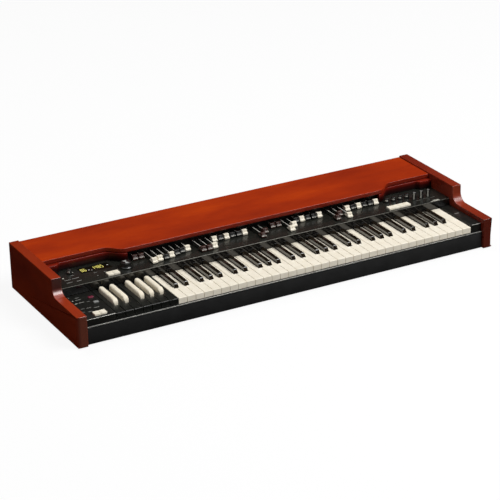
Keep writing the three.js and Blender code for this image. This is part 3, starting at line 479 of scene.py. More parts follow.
class Bench:
    """The modelling bench: the steps by which every new piece is made."""

    @staticmethod
    def clear() -> None:
        """Leaves nothing selected."""
        bpy.ops.object.select_all(action="DESELECT")

    @staticmethod
    def take(piece: Object) -> None:
        """Selects one piece alone and makes it the active one."""
        Bench.clear()
        piece.select_set(True)
        bpy.context.view_layer.objects.active = piece

    @staticmethod
    def outward(piece: Object) -> None:
        """Makes every face of a piece point outwards."""
        Bench.take(piece)
        bpy.ops.object.mode_set(mode="EDIT")
        bpy.ops.mesh.select_all(action="SELECT")
        bpy.ops.mesh.normals_make_consistent(inside=False)
        bpy.ops.object.mode_set(mode="OBJECT")

    @staticmethod
    def loft(name: str, corners: int, rings: int, place: Callable[[int, int], Vector]) -> Object:
        """Extrudes a disc ring by ring and puts each corner of each ring in its place.

        Args:
            name: The piece's name.
            corners: How many corners each ring has.
            rings: How many rings there are.
            place: Gives the place of a corner, by its number and its ring's number.

        Returns:
            The closed piece.
        """
        Bench.clear()
        bpy.ops.mesh.primitive_circle_add(vertices=corners, radius=1, fill_type="NGON")
        piece = bpy.context.object
        bpy.ops.object.mode_set(mode="EDIT")
        bpy.ops.mesh.select_all(action="SELECT")
        for _ in range(rings - 1):
            bpy.ops.mesh.extrude_region_move(TRANSFORM_OT_translate={"value": (0, 0, 1)})
        bpy.ops.object.mode_set(mode="OBJECT")
        for vertex in piece.data.vertices:
            turn = math.atan2(vertex.co.x, vertex.co.y) / math.tau * corners
            vertex.co = place(round(turn) % corners, round(vertex.co.z))
        piece.name = piece.data.name = name
        Bench.outward(piece)
        return piece

    @staticmethod
    def plan(name: str, points: Sequence[Point], low: float, high: float) -> Object:
        """Raises an outline in x and y from one height to another."""
        return Bench.loft(name, len(points), 2, lambda i, k: at(*points[i], high if k else low))

    @staticmethod
    def slab(
        name: str, points: Sequence[Point], heights: Point, under: float, over: float
    ) -> Object:
        """Raises an outline between two heights and rounds its lower and upper edges.

        Args:
            name: The piece's name.
            points: The outline in x and y.
            heights: Heights of the bottom and the top.
            under: Radius of the lower edges.
            over: Radius of the upper edges.

        Returns:
            The piece, its flat faces shaded evenly.
        """
        low, high = heights
        count = len(points)
        area = sum(points[i - 1][0] * y - x * points[i - 1][1] for i, (x, y) in enumerate(points))
        ways: list[Vector] = []
        for i, (x, y) in enumerate(points):
            last, following = points[i - 1], points[(i + 1) % count]
            before = Vector((x - last[0], y - last[1])).normalized()
            after = Vector((following[0] - x, following[1] - y)).normalized()
            inward = Vector((-before.y - after.y, before.x + after.x)).normalized()
            lean = abs(inward.dot(Vector((-after.y, after.x))))
            ways.append(inward * math.copysign(1, area) / max(lean, 0.5))
        steps, lip = 6, 0.4
        turns = [math.pi / 2 * i / steps for i in range(steps + 1)]
        levels = [(low, under + lip)]
        levels += [(low + under * (1 - math.cos(a)), under * (1 - math.sin(a))) for a in turns]
        turns.reverse()
        levels += [(high - over * (1 - math.cos(a)), over * (1 - math.sin(a))) for a in turns]
        levels += [(high, over + lip)]

        def place(i: int, k: int) -> Vector:
            height, back = levels[k]
            return at(points[i][0] + ways[i].x * back, points[i][1] + ways[i].y * back, height)

        return Bench.smooth(Bench.loft(name, count, len(levels), place))

    @staticmethod
    def side(name: str, points: Sequence[Point], left: float, right: float) -> Object:
        """Draws an outline in y and z from one x to another."""
        return Bench.loft(name, len(points), 2, lambda i, k: at(right if k else left, *points[i]))

    @staticmethod
    def block(name: str, x: Point, y: Point, z: Point) -> Object:
        """Makes a square block between pairs of planes, ready to be cut and softened."""
        low, high = at(x[0], y[0], z[0]), at(x[1], y[1], z[1])
        Bench.clear()
        bpy.ops.mesh.primitive_cube_add(size=1, location=(low + high) / 2, scale=high - low)
        bpy.ops.object.transform_apply(location=True, rotation=True, scale=True)
        piece = bpy.context.object
        piece.name = piece.data.name = name
        return piece

    @staticmethod
    def turned(
        name: str,
        x: float,
        y: float,
        profile: Sequence[Point],
        sides: int,
        ribs: float = 0.0,
        ribbed: range = range(0),
    ) -> Object:
        """Turns a profile of radius and height about an upright axis.

        Args:
            name: The piece's name.
            x: Place of the axis.
            y: Place of the axis.
            profile: Radius and height of each ring, from the bottom to the top.
            sides: How many sides each ring has.
            ribs: How far every second pair of corners is drawn in, for a ribbed grip.
            ribbed: The numbers of the rings that have ribs.

        Returns:
            The turned piece.
        """

        def place(i: int, k: int) -> Vector:
            radius, height = profile[k]
            if k in ribbed and i % 4 < 2:
                radius -= ribs
            turn = math.tau * i / sides
            return at(x + radius * math.sin(turn), y + radius * math.cos(turn), height)

        return Bench.loft(name, sides, len(profile), place)

    @staticmethod
    def smooth(piece: Object, degrees: float = 35) -> Object:
        """Shades a piece smoothly, but for the edges sharper than an angle."""
        Bench.take(piece)
        bpy.ops.object.shade_smooth_by_angle(angle=math.radians(degrees))
        return piece

    @staticmethod
    def soften(piece: Object, width: float, segments: int = 2, angle: float = 40) -> Object:
        """Rounds the sharp edges by a width in mm and shades the round parts smoothly."""
        edge = piece.modifiers.new("edge", "BEVEL")
        edge.width = width * MM
        edge.segments = segments
        edge.limit_method = "ANGLE"
        edge.angle_limit = math.radians(angle)
        Bench.take(piece)
        bpy.ops.object.modifier_apply(modifier=edge.name)
        return Bench.smooth(piece)

    @staticmethod
    def even(piece: Object) -> Object:
        """Leans the normals at corners towards the large faces, so that these shade evenly."""
        Bench.take(piece)
        bpy.ops.object.modifier_add(type="WEIGHTED_NORMAL")
        weighting = piece.modifiers[-1]
        weighting.weight = 100
        weighting.keep_sharp = True
        bpy.ops.object.modifier_apply(modifier=weighting.name)
        return piece

    @staticmethod
    def carve(piece: Object, tool: Object) -> Object:
        """Cuts a piece with another and throws the tool away."""
        step = piece.modifiers.new("carve", "BOOLEAN")
        step.operation = "DIFFERENCE"
        step.object = tool
        step.solver = "EXACT"
        Bench.take(piece)
        bpy.ops.object.modifier_apply(modifier=step.name)
        Bench.discard(tool)
        return piece

    @staticmethod
    def discard(*pieces: Object) -> None:
        """Throws away tools and patterns that have served."""
        for piece in pieces:
            bpy.data.objects.remove(piece)

    @staticmethod
    def copy(piece: Object, name: str, x: float = 0, y: float = 0, z: float = 0) -> Object:
        """Copies a piece with its own mesh, moved by so many millimetres."""
        twin = piece.copy()
        twin.data = piece.data.copy()
        twin.name = twin.data.name = name
        twin.data.transform(Matrix.Translation(Vector((x, y, z)) * MM))
        bpy.context.collection.objects.link(twin)
        return twin

    @staticmethod
    def join(name: str, parts: Sequence[Object]) -> Object:
        """Joins several parts to one piece."""
        Bench.clear()
        for part in parts:
            part.select_set(True)
        bpy.context.view_layer.objects.active = parts[0]
        if len(parts) > 1:
            bpy.ops.object.join()
        piece = bpy.context.object
        piece.name = piece.data.name = name
        return piece

    @staticmethod
    def seat(piece: Object, finish: Finish, body: str, slot: str, *nodes: str) -> Object:
        """Gives a piece its finish and its moving body, and hides the solids it stands for."""
        piece.data.materials.clear()
        piece.data.materials.append(finish.material())
        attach(piece, body)
        if nodes:
            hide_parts(*nodes)
        log.info("%s rides on %s, finished in %s", piece.name, body, finish.name)
        return piece


def arc(centre: Point, radius: float, start: float, stop: float, steps: int) -> list[Point]:
    """Gives points on an arc, with the angles in degrees."""
    turns = [math.radians(start + (stop - start) * i / steps) for i in range(steps + 1)]
    return [(centre[0] + radius * math.cos(t), centre[1] + radius * math.sin(t)) for t in turns]


def inset(radius: float, depth: float) -> float:
    """Gives how far a rounded edge draws back at a depth below its face."""
    return radius - math.sqrt(radius**2 - (radius - depth) ** 2) if depth < radius else 0.0


def scallop(start: Point, end: Point, steps: int = 20) -> list[Point]:
    """Gives points on the S-shaped curve of the cover's front, without its last point."""
    middle = (start[0] + end[0]) / 2
    points = []
    for i in range(steps):
        t = i / steps
        ease = t * t * (3 - 2 * t)
        x = (1 - t) ** 3 * start[0] + 3 * t * (1 - t) * middle + t**3 * end[0]
        points.append((x, start[1] + (end[1] - start[1]) * ease))
    return points


# --------------------------------------------------------------------------------------------
# The wooden case


@dataclass
class Case:
    """Side panels, cover, fascias, base, back, rail and the blocks beside the keys."""

    left: float = -247.4
    right: float = 879.6
    thickness: float = 26.0
    front: float = -12.1
    back: float = 401.5
    bottom: float = -62.9
    shoulder: float = 17.6
    step: float = 134.8
    top: float = 61.7
    cove: float = 24.0
    gap: float = 0.3
    bay: Point = (-30.0, 701.9)
    bay_front: float = 219.5
    recess: float = 253.0
    cover: Point = (45.8, 58.3)
    scallop_width: float = 58.0
    back_front: float = 389.5
    plate: float = 389.2
    socket_z: float = -20.0
    jacks: tuple[float, ...] = (646.0, 678.0, 710.0, 742.0)

    @property
    def across(self) -> Point:
        """The ends of the pieces that fill the width between the side panels."""
        return self.left + self.gap, self.right - self.gap

    def profile(self) -> list[Quad]:
        """Gives the side outline of a panel: y, z and the outward direction at each point."""
        r = 1.3
        points: list[Quad] = []
        cove = (self.step - self.cove, self.shoulder + self.cove)
        for y, z, radius, start, stop, steps, sign in (
            (self.front + r, self.bottom + r, r, 180, 270, 4, 1),
            (self.back - r, self.bottom + r, r, 270, 360, 4, 1),
            (self.back - r, self.top - r, r, 0, 90, 6, 1),
            (self.step + r, self.top - r, r, 90, 180, 6, 1),
            (*cove, self.cove, 0, -90, 18, -1),
            (self.front + r, self.shoulder - r, r, 90, 180, 6, 1),
        ):
            for i in range(steps + 1):
                turn = math.radians(start + (stop - start) * i / steps)
                c, s = math.cos(turn), math.sin(turn)
                points.append((y + radius * c, z + radius * s, sign * c, sign * s))
        return points

    def side_panel(self, name: str, inner: float, side: int) -> None:
        """Lofts one panel through its thickness, its upright outer corners drawn in round."""
        outline = self.profile()
        near = [0.0, 0.12, 0.4, 0.8, 1.3, 3.0]
        far = [9.0, 6.6, 4.6, 3.2, 2.0, 1.3, 0.7, 0.25, 0.0]
        depths = near + [self.thickness - d for d in far]

        def place(i: int, k: int) -> Vector:
            y, z, out_y, out_z = outline[i]
            depth = depths[k]
            rest = self.thickness - depth
            outer = 9.0 if y < self.front + 3 else 1.6
            edge_y = inset(1.3, depth) + inset(outer, rest)
            edge_z = inset(1.0, depth) + inset(1.4, rest)
            return at(inner + side * depth, y - out_y * edge_y, z - out_z * edge_z)

        panel = Bench.even(Bench.smooth(Bench.loft(name, len(outline), len(depths), place)))
        # the right panel takes the darker copy of the panel finish: painted shade
        finish = CHERRY_PANEL if side < 0 else CHERRY_PANEL_SHADED
        Bench.seat(panel, finish, "case", "case_wood", name.replace("_veneered", ""))

    def cover_board(self) -> None:
        """The board over the works, its front line running out round the drawbar bay."""
        lo, hi = self.across
        bay_lo, bay_hi = self.bay
        wide_lo, wide_hi = bay_lo - self.scallop_width, bay_hi + self.scallop_width
        points = [(lo, self.recess)]
        points += scallop((wide_lo, self.recess), (bay_lo, self.bay_front))
        points += [(bay_lo, self.bay_front)]
        points += scallop((bay_hi, self.bay_front), (wide_hi, self.recess))
        points += [(wide_hi, self.recess), (hi, self.recess), (hi, self.back), (lo, self.back)]
        board = Bench.slab("cover_board_veneered", points, self.cover, 4.5, 1.5)
        Bench.seat(board, CHERRY_BOARD, "case", "case_wood", "top_cover")

    def fascia(self, name: str, side: int) -> None:
        """The red wall under one end of the cover, with the block in its corner."""
        wall, bay = (pair[0 if side < 0 else 1] for pair in (self.across, self.bay))
        block, ramp, nook, thick, proud = 31, 15, 13, 11, 2.2
        corner = wall - side * block
        bend = corner - side * ramp
        start, end = bay + side * (self.scallop_width - 2.5), bay + side * 1.1
        front, rear = self.recess - nook, self.recess + thick
        face, bay_face = self.recess - proud, self.bay_front - 0.8
        points = [(wall, front), (corner, front)]
        points += scallop((corner, front), (bend, face), 10)[1:]
        points += [(bend, face)]
        points += scallop((start, face), (end, bay_face), 18)
        points += [(end, bay_face), (end, bay_face + thick)]
        points += scallop((end, bay_face + thick), (start, rear), 18)[1:]
        points += [(start, rear), (wall, rear)]
        piece = Bench.slab(name, points, (23.9, self.cover[0] - 0.1), 0.4, 1.0)
        Bench.seat(piece, CHERRY_FASCIA, "case", "case_wood", "top_cover")

    def base(self) -> None:
        """The bottom board with its edges broken, four turned rubber feet and their screws."""
        high = (self.bottom, self.bottom + 12)
        board = Bench.block("base_board_ply", self.across, (-0.7, self.plate), high)
        Bench.seat(Bench.soften(board, 0.8), BIRCH, "case", "base_plywood", "base_board")
        low = self.bottom - 3.5
        foot_rings = [(11.5, low), (13.2, low + 0.4), (14, low + 1.4)]
        foot_rings += [(14, low + 3.5), (13, low + 7)]
        screw_rings = [(2.4, low + 0.5), (4.2, low + 1.2), (4.2, low + 1.9)]
        inward = 45
        columns = (self.left + inward, self.right - inward)
        lines = (self.front + inward, self.back - inward)
        for number, (x, y) in enumerate(product(columns, lines), 1):
            foot = Bench.turned(f"foot_rubber_{number}", x, y, foot_rings, 36)
            Bench.carve(foot, Bench.turned("cup", x, y, [(5.2, low - 1), (5.2, low + 2)], 24))
            Bench.seat(Bench.soften(foot, 0.3), RUBBER, "case", "base_plywood", "base_board")
            screw = Bench.turned(f"foot_screw_{number}", x, y, screw_rings, 20)
            Bench.seat(Bench.soften(screw, 0.2), STEEL, "case", "steel_sheet")

    def back_board(self) -> None:
        """The rear board with its opening for the sockets and a row of screws along its edges."""
        deep, high = (self.back_front, self.back), (self.bottom, self.cover[0] - 0.3)
        board = Bench.block("back_panel_veneered", self.across, deep, high)
        Bench.carve(board, Bench.block("window", (614, 838), (deep[0] - 3, deep[1] + 3), (-36, -4)))
        Bench.seat(Bench.soften(board, 1.0, 3), CHERRY_BOARD, "case", "case_wood", "back_panel")
        head = [(5.2, -0.65), (5.2, -0.1), (3.4, 0.0), (3.2, -0.3)]
        pattern = Bench.soften(self.rear_round("screw", 0, 0, head), 0.1)
        columns, inward = 7, 22
        places = product((self.bottom + 8, self.cover[0] - 9), range(columns))
        for number, (z, i) in enumerate(places, 1):
            x = self.left + inward + i * (self.right - self.left - 2 * inward) / (columns - 1)
            screw = Bench.copy(pattern, f"back_screw_{number}", x, 0, z)
            Bench.seat(screw, STEEL, "case", "steel_sheet")
        Bench.discard(pattern)

    def rear_round(
        self, name: str, x: float, z: float, rings: Sequence[Point], sides: int = 24
    ) -> Object:
        """Makes a round or six-sided part whose axis points backwards.

        Args:
            name: The part's name.
            x: Place of the axis.
            z: Height of the axis.
            rings: Radius and distance behind the case's back of each ring, from the inside out.
            sides: How many sides each ring has.

        Returns:
            The part.
        """

        def place(i: int, k: int) -> Vector:
            radius, behind = rings[k]
            turn = math.tau * i / sides
            return at(x + radius * math.sin(turn), self.back + behind, z + radius * math.cos(turn))

        return Bench.loft(name, sides, len(rings), place)

    def plate_part(
        self, name: str, x: float, rings: Sequence[Point], sides: int, width: float
    ) -> None:
        """Puts a round steel part on the socket plate, its rings measured from the plate's face."""
        placed = [(radius, self.plate - self.back + behind) for radius, behind in rings]
        part = self.rear_round(name, x, self.socket_z, placed, sides)
        Bench.seat(Bench.soften(part, width), STEEL, "case", "steel_sheet")

    def socket_dress(self) -> None:
        """Washers and nuts on the jack sockets, a rim round the mains inlet, the plate's screws."""
        for i, x in enumerate(self.jacks):
            self.plate_part(f"jack_washer_{i + 1}", x, [(9.0, 0.0), (9.0, 0.6)], 32, 0.15)
            self.plate_part(f"jack_nut_{i + 1}", x, [(8.0, 0.5), (8.0, 2.2)], 6, 0.3)
        y, z = self.plate, self.socket_z
        rim = Bench.block("inlet_rim", (791, 829), (y, y + 1.6), (z - 13, z + 13))
        Bench.carve(rim, Bench.block("hole", (798.2, 821.8), (y - 1, y + 3), (z - 8.2, z + 8.2)))
        Bench.seat(Bench.soften(rim, 0.4), CAP_BLACK, "case", "black_plastic")
        screw = [(3.0, 0.0), (3.0, 0.8), (2.0, 1.2)]
        for i, x in enumerate((620.5, 832.5)):
            self.plate_part(f"plate_screw_{i + 1}", x, screw, 24, 0.15)

    def front_rail(self) -> None:
        """The long black rail under the keys, with its bright trim along the top edge."""
        lo, hi = self.across
        y0, y1, flange = -4.0, -1.0, 18.0
        outline = [(y0, -62.3), (y1, -62.3), (y1, -50.6), (flange, -50.6), (flange, -47.6)]
        outline += [(y1, -47.6), (y1, -17.2), (y0, -17.2)]
        rail = Bench.side("front_rail_coated", outline, lo, hi)
        for x in ((lo - 1, -164.2), (848.2, hi + 1)):
            Bench.carve(rail, Bench.block("notch", x, (-0.7, 20), (-52, -46)))
        Bench.seat(Bench.soften(rail, 0.5), RAIL_COAT, "case", "black_plastic", "front_rail")
        edge = [(-4.7, -19.3), (-3.95, -19.3), (-3.95, -17.1), (-1.2, -17.1)]
        edge += [(-1.2, -16.6), (-4.7, -16.6)]
        trim = Bench.side("front_rail_trim", edge, lo + 0.2, hi - 0.2)
        Bench.seat(Bench.soften(trim, 0.7, 4), TRIM, "case", "steel_sheet")
        felt = Bench.block("key_stop_felt", (lo + 2, hi - 2), (-1.7, -0.9), (-18.0, -14.9))
        Bench.seat(Bench.soften(felt, 0.15), RUBBER, "case", "black_plastic")

    def end_block(
        self, side: str, x: Point, top: float, pockets: Sequence[tuple[Point, Point]]
    ) -> None:
        """A black block beside the keys, hollow underneath, with pockets for its controls."""
        back, floor, depth = 149.0, -50.6, 9.0
        block = Bench.block(f"{side}_block_moulded", x, (0, back), (floor, top))
        Bench.soften(block, 1.2, 3)
        hollow = Bench.block("hollow", (x[0] + 3, x[1] - 3), (3, back - 3), (floor - 1, top - 14))
        Bench.carve(block, hollow)
        for across, deep in pockets:
            Bench.carve(block, Bench.block("pocket", across, deep, (top - depth, top + 1)))
        Bench.seat(Bench.smooth(block, 30), BLACK_ABS, "case", "black_plastic", f"end_block_{side}")

    def end_blocks(self) -> None:
        """The left block with pockets for two tabs and two buttons, and the plain right one."""
        tabs = [((-216.8 + 16.3 * i, -200.5 + 16.3 * i), (10.1, 29.9)) for i in range(2)]
        buttons = [((-188.3, -174.7), (y - 4.8, y + 4.8)) for y in (83, 114)]
        self.end_block("left", (-247.1, -165.5), 0.8, tabs + buttons)
        self.end_block("right", (849.5, 879.3), 5.0, [])
        for side, x, top in (("left", (-246.6, -166.2), 0.8), ("right", (850.2, 878.8), 5.0)):
            edging = Bench.block(f"{side}_block_edging", x, (-0.35, 0.9), (top - 1.0, top + 0.15))
            Bench.seat(Bench.soften(edging, 0.45, 3), TRIM, "case", "steel_sheet")

    def build(self) -> None:
        """Builds the whole case."""
        self.side_panel("side_panel_left_veneered", self.left, -1)
        self.side_panel("side_panel_right_veneered", self.right, 1)
        self.cover_board()
        self.fascia("fascia_left", -1)
        self.fascia("fascia_right", 1)
        self.base()
        self.back_board()
        self.socket_dress()
        self.front_rail()
        self.end_blocks()


# --------------------------------------------------------------------------------------------
# Keyboard


@dataclass(frozen=True)
class NaturalForm:
    """The sizes of one kind of natural key, in mm.

    Two heads stand a gap apart; edge and nose are the radii of their sides and fronts. The
    cut-outs for the sharps begin at cut and reach cut_half to each side of a sharp's middle.
    """

    gap: float
    edge: float
    cut: float
    cut_half: float
    nose: float


@dataclass(frozen=True)
class SharpForm:
    """The sizes of one kind of sharp key, in mm.

    The nose is its ridge line from the front, as distance and height. The sides spread from the
    foot to the waist and lean in from there to the top; pinch is the share by which the rear end
    draws in and drop how far it falls there, and bow the share by which the nose draws in. Shift
    moves the key off its centre, and smooth is the angle in degrees below which edges look round.
    """

    front: float
    nose: tuple[Point, ...]
    rear: float
    foot: float
    waist: Point
    top: float
    rise: float
    shoulder: float
    tail: float
    drop: float
    pinch: float
    bow: float
    shift: float
    smooth: float


SHARP_SHIFTS = {0: -0.1, 1: 0.1, 3: -0.11, 4: 0.0, 5: 0.11}


class KeyRow(Enum):
    """The two rows of keys, each with the forms of its natural and its sharp keys."""

    PLAYING = (
        NaturalForm(gap=1.3, edge=0.35, cut=56.0, cut_half=6.7, nose=1.6),
        SharpForm(
            front=57.0,
            nose=(
                (0.0, 0.0), (0.4, 1.2), (4.1, 8.4), (4.3, 8.85),
                (4.65, 9.3), (5.1, 9.6), (5.7, 9.77), (6.4, 9.8),
            ),
            rear=148.0, foot=9.8, waist=(11.2, 3.6), top=10.0, rise=9.8, shoulder=0.9, tail=1.6,
            drop=1.3, pinch=0.0, bow=0.0, shift=1.2, smooth=34.0,
        ),
    )
    PRESET = (
        NaturalForm(gap=1.6, edge=0.9, cut=43.0, cut_half=7.4, nose=1.2),
        SharpForm(
            front=50.0,
            nose=(
                (0.0, 0.0), (0.5, 2.2), (1.4, 4.4), (2.8, 6.6),
                (4.8, 8.8), (7.2, 10.3), (9.8, 11.1), (12.6, 11.6),
            ),
            rear=140.0, foot=14.2, waist=(14.4, 3.0), top=14.2, rise=11.6, shoulder=4.8, tail=6.4,
            drop=1.4, pinch=0.8, bow=0.42, shift=-1.0, smooth=50.0,
        ),
    )


@dataclass
class Keyboard:
    """The playing keys and the reversed preset keys; each key is a piece of its own."""

    pitch: float = 23.5
    octaves: int = 5
    per_octave: int = 7
    top_extra: float = 1.5
    skirt: float = 21.0
    body: float = 12.0
    hinge_y: float = 235.0

    def sharp_centre(self, natural: int) -> float:
        """Gives a sharp's centre from the left of its octave."""
        return (natural + 1 + SHARP_SHIFTS[natural]) * self.pitch + 1.3

    def natural(self, name: str, number: int, last: bool, row: KeyRow) -> Object:
        """Models a natural key of the first octave: head, cut-outs, round edges, skirt, tail."""
        form, beside = row.value
        cut, half, rear = form.cut, form.cut_half, 190.0
        x0 = number * self.pitch + form.gap / 2
        x1 = (number + 1) * self.pitch - form.gap / 2 + (self.top_extra if last else 0)
        has_left = number > 0 and (number - 1) in SHARP_SHIFTS
        has_right = not last and number in SHARP_SHIFTS
        r0 = self.sharp_centre(number - 1) + beside.shift + half if has_left else x0
        r1 = self.sharp_centre(number) + beside.shift - half if has_right else x1
        plan: list[tuple[float, float, int, int]] = [(x0, 0, 1, 1), (x1, 0, -1, 1)]
        plan += [(x1, cut, -1, -1), (r1, cut, -1, -1)] if has_right else []
        plan += [(r1, rear, -1, -1), (r0, rear, 1, -1)]
        plan += [(r0, cut, 1, -1), (x0, cut, 1, -1)] if has_left else []
        # rings from the bottom up; the last one lies flat, so that the top face shades evenly
        falls = [self.body, 2.6, 2.0, 1.4, 0.9, 0.6, 0.35, 0.16, 0.06, 0.0, 0.0]

        def place(i: int, k: int) -> Vector:
            x, y, right, back = plan[i]
            extra = 0.3 if k == len(falls) - 1 else 0.0
            side = inset(form.edge, falls[k]) + extra
            front = inset(form.nose if y == 0 else form.edge, falls[k]) + extra
            return at(x + right * side, y + back * front, -falls[k])

        head = Bench.smooth(Bench.loft(name, len(plan), len(falls), place))
        skirt = Bench.block("skirt", (x0, x1), (0, 2.4), (-self.skirt, -self.body))
        hinge = [(rear - 1, -1), (203, -1), (215, -10.2), (229.5, -10.2), (229.5, -14), (215, -14)]
        tail = Bench.side("tail", hinge + [(rear - 1, -11)], r0 + 1, r1 - 1)
        return Bench.join(name, [head, skirt, tail])

    def sharp(self, name: str, row: KeyRow) -> Object:
        """Models one sharp key at x = 0: tapered sides, sloping nose and round shoulders."""
        form = row.value[1]
        foot, waist, high = form.foot / 2, form.waist[0] / 2, form.waist[1]
        bend = (form.top / 2 - form.shoulder, form.rise - form.shoulder)
        shoulder = arc(bend, form.shoulder, 0, 90, 8)
        right = [(foot, -9.0), (foot, 0.0), (waist - 0.1, high - 0.4), (waist - 0.1, high + 0.4)]
        right += shoulder
        section = right + [(-x, z) for x, z in reversed(right)]
        tail = [
            (form.rear - form.tail * (1 - math.sin(a)), form.rise - form.drop * (1 - math.cos(a)))
            for a in (math.pi / 2 * i / 6 for i in range(7))
        ]
        ridge = [(form.front + y, z) for y, z in form.nose] + tail

        def place(i: int, k: int) -> Vector:
            x, z = section[i]
            y, height = ridge[k]
            back = min(1.0, max(0.0, (y - (form.rear - form.tail)) / form.tail))
            pinch = 1 - form.pinch * (1 - math.sqrt(1 - back * back))
            share = height / form.rise
            if not back:
                pinch = 1 - form.bow * (1 - share) ** 1.5
            if z > 0:
                # lower down the key is wider, so its nose widens as its height falls
                if z > high + 1 and not back:
                    x *= 1 + (form.waist[0] / form.top - 1) * (1 - share)
                z *= share
            return at(x * pinch + form.shift, y, z)

        return Bench.smooth(Bench.loft(name, len(section), len(ridge), place), form.smooth)

    def rail(
        self, name: str, ends: Point, top: float, node: str, finish: Finish, slot: str
    ) -> None:
        """The strip that holds one comb's tails over the hinge beam."""
        rail = Bench.block(name, ends, (self.hinge_y - 6, self.hinge_y + 6), (top - 4, top))
        Bench.seat(Bench.soften(rail, 0.4), finish, node, slot, node)

    def row(self, row: KeyRow) -> None:
        """Builds every key of one row on the bodies of its combs."""
        preset = row is KeyRow.PRESET
        white, black = "ivory_plastic", "black_plastic"
        last = self.per_octave
        kinds = range(last if preset else last + 1)
        naturals = [self.natural(f"pattern_{i}", i, i == last, row) for i in kinds]
        sharp = self.sharp("pattern_sharp", row)
        stem = Bench.block("pattern_stem", (-4, 4), (130, 235), (-9, -2))
        natural_finish, sharp_finish = IVORY_ABS, SHARP_ABS
        natural_slot, sharp_slot = white, black
        if preset:
            natural_finish, sharp_finish = PRESET_ABS, PRESET_IVORY
            natural_slot, sharp_slot = black, white
        for octave in range(1 if preset else self.octaves):
            left = (-1 if preset else octave) * self.per_octave * self.pitch
            tag = "preset" if preset else f"octave_{octave + 1}"
            node_name = "preset_{}_keys" if preset else "{}_keys_" + tag
            natural_node, sharp_node = (node_name.format(kind) for kind in ("natural", "sharp"))
            top_key = octave == self.octaves - 1 and not preset
            count = self.per_octave + top_key
            for i in range(count):
                key = Bench.copy(naturals[i], f"natural_{tag}_{i + 1}", left)
                Bench.seat(key, natural_finish, natural_node, natural_slot, natural_node)
            for number, i in enumerate(SHARP_SHIFTS, 1):
                middle = left + self.sharp_centre(i)
                key = Bench.copy(sharp, f"sharp_{tag}_{number}", middle)
                Bench.seat(key, sharp_finish, sharp_node, sharp_slot, sharp_node)
                bar = Bench.copy(stem, f"sharp_stem_{tag}_{number}", middle)
                Bench.seat(bar, PRESET_ABS, sharp_node, black, sharp_node)
            ends = (left + 0.5, left + count * self.pitch + self.top_extra * top_key - 0.5)
            self.rail(f"natural_rail_{tag}", ends, -10, natural_node, natural_finish, natural_slot)
            ends = (left + 1, left + 163.5)
            self.rail(f"sharp_rail_{tag}", ends, -5.4, sharp_node, PRESET_ABS, black)
        Bench.discard(*naturals, sharp, stem)

    def build(self) -> None:
        """Builds both rows."""
        self.row(KeyRow.PLAYING)
        self.row(KeyRow.PRESET)


# --------------------------------------------------------------------------------------------
# Drawbars


class CapColour(Enum):
    """The mouldings that drawbar caps come in, each with its finish."""

    BROWN = CAP_BROWN
    IVORY = CAP_IVORY
    BLACK = CAP_BLACK


@dataclass(frozen=True)
class Slide:
    """Drawbars that one carriage moves; clicks are how far each stands pulled out."""

    node: str
    start: float
    first: int
    clicks: tuple[int, ...]
    pedal: bool = False


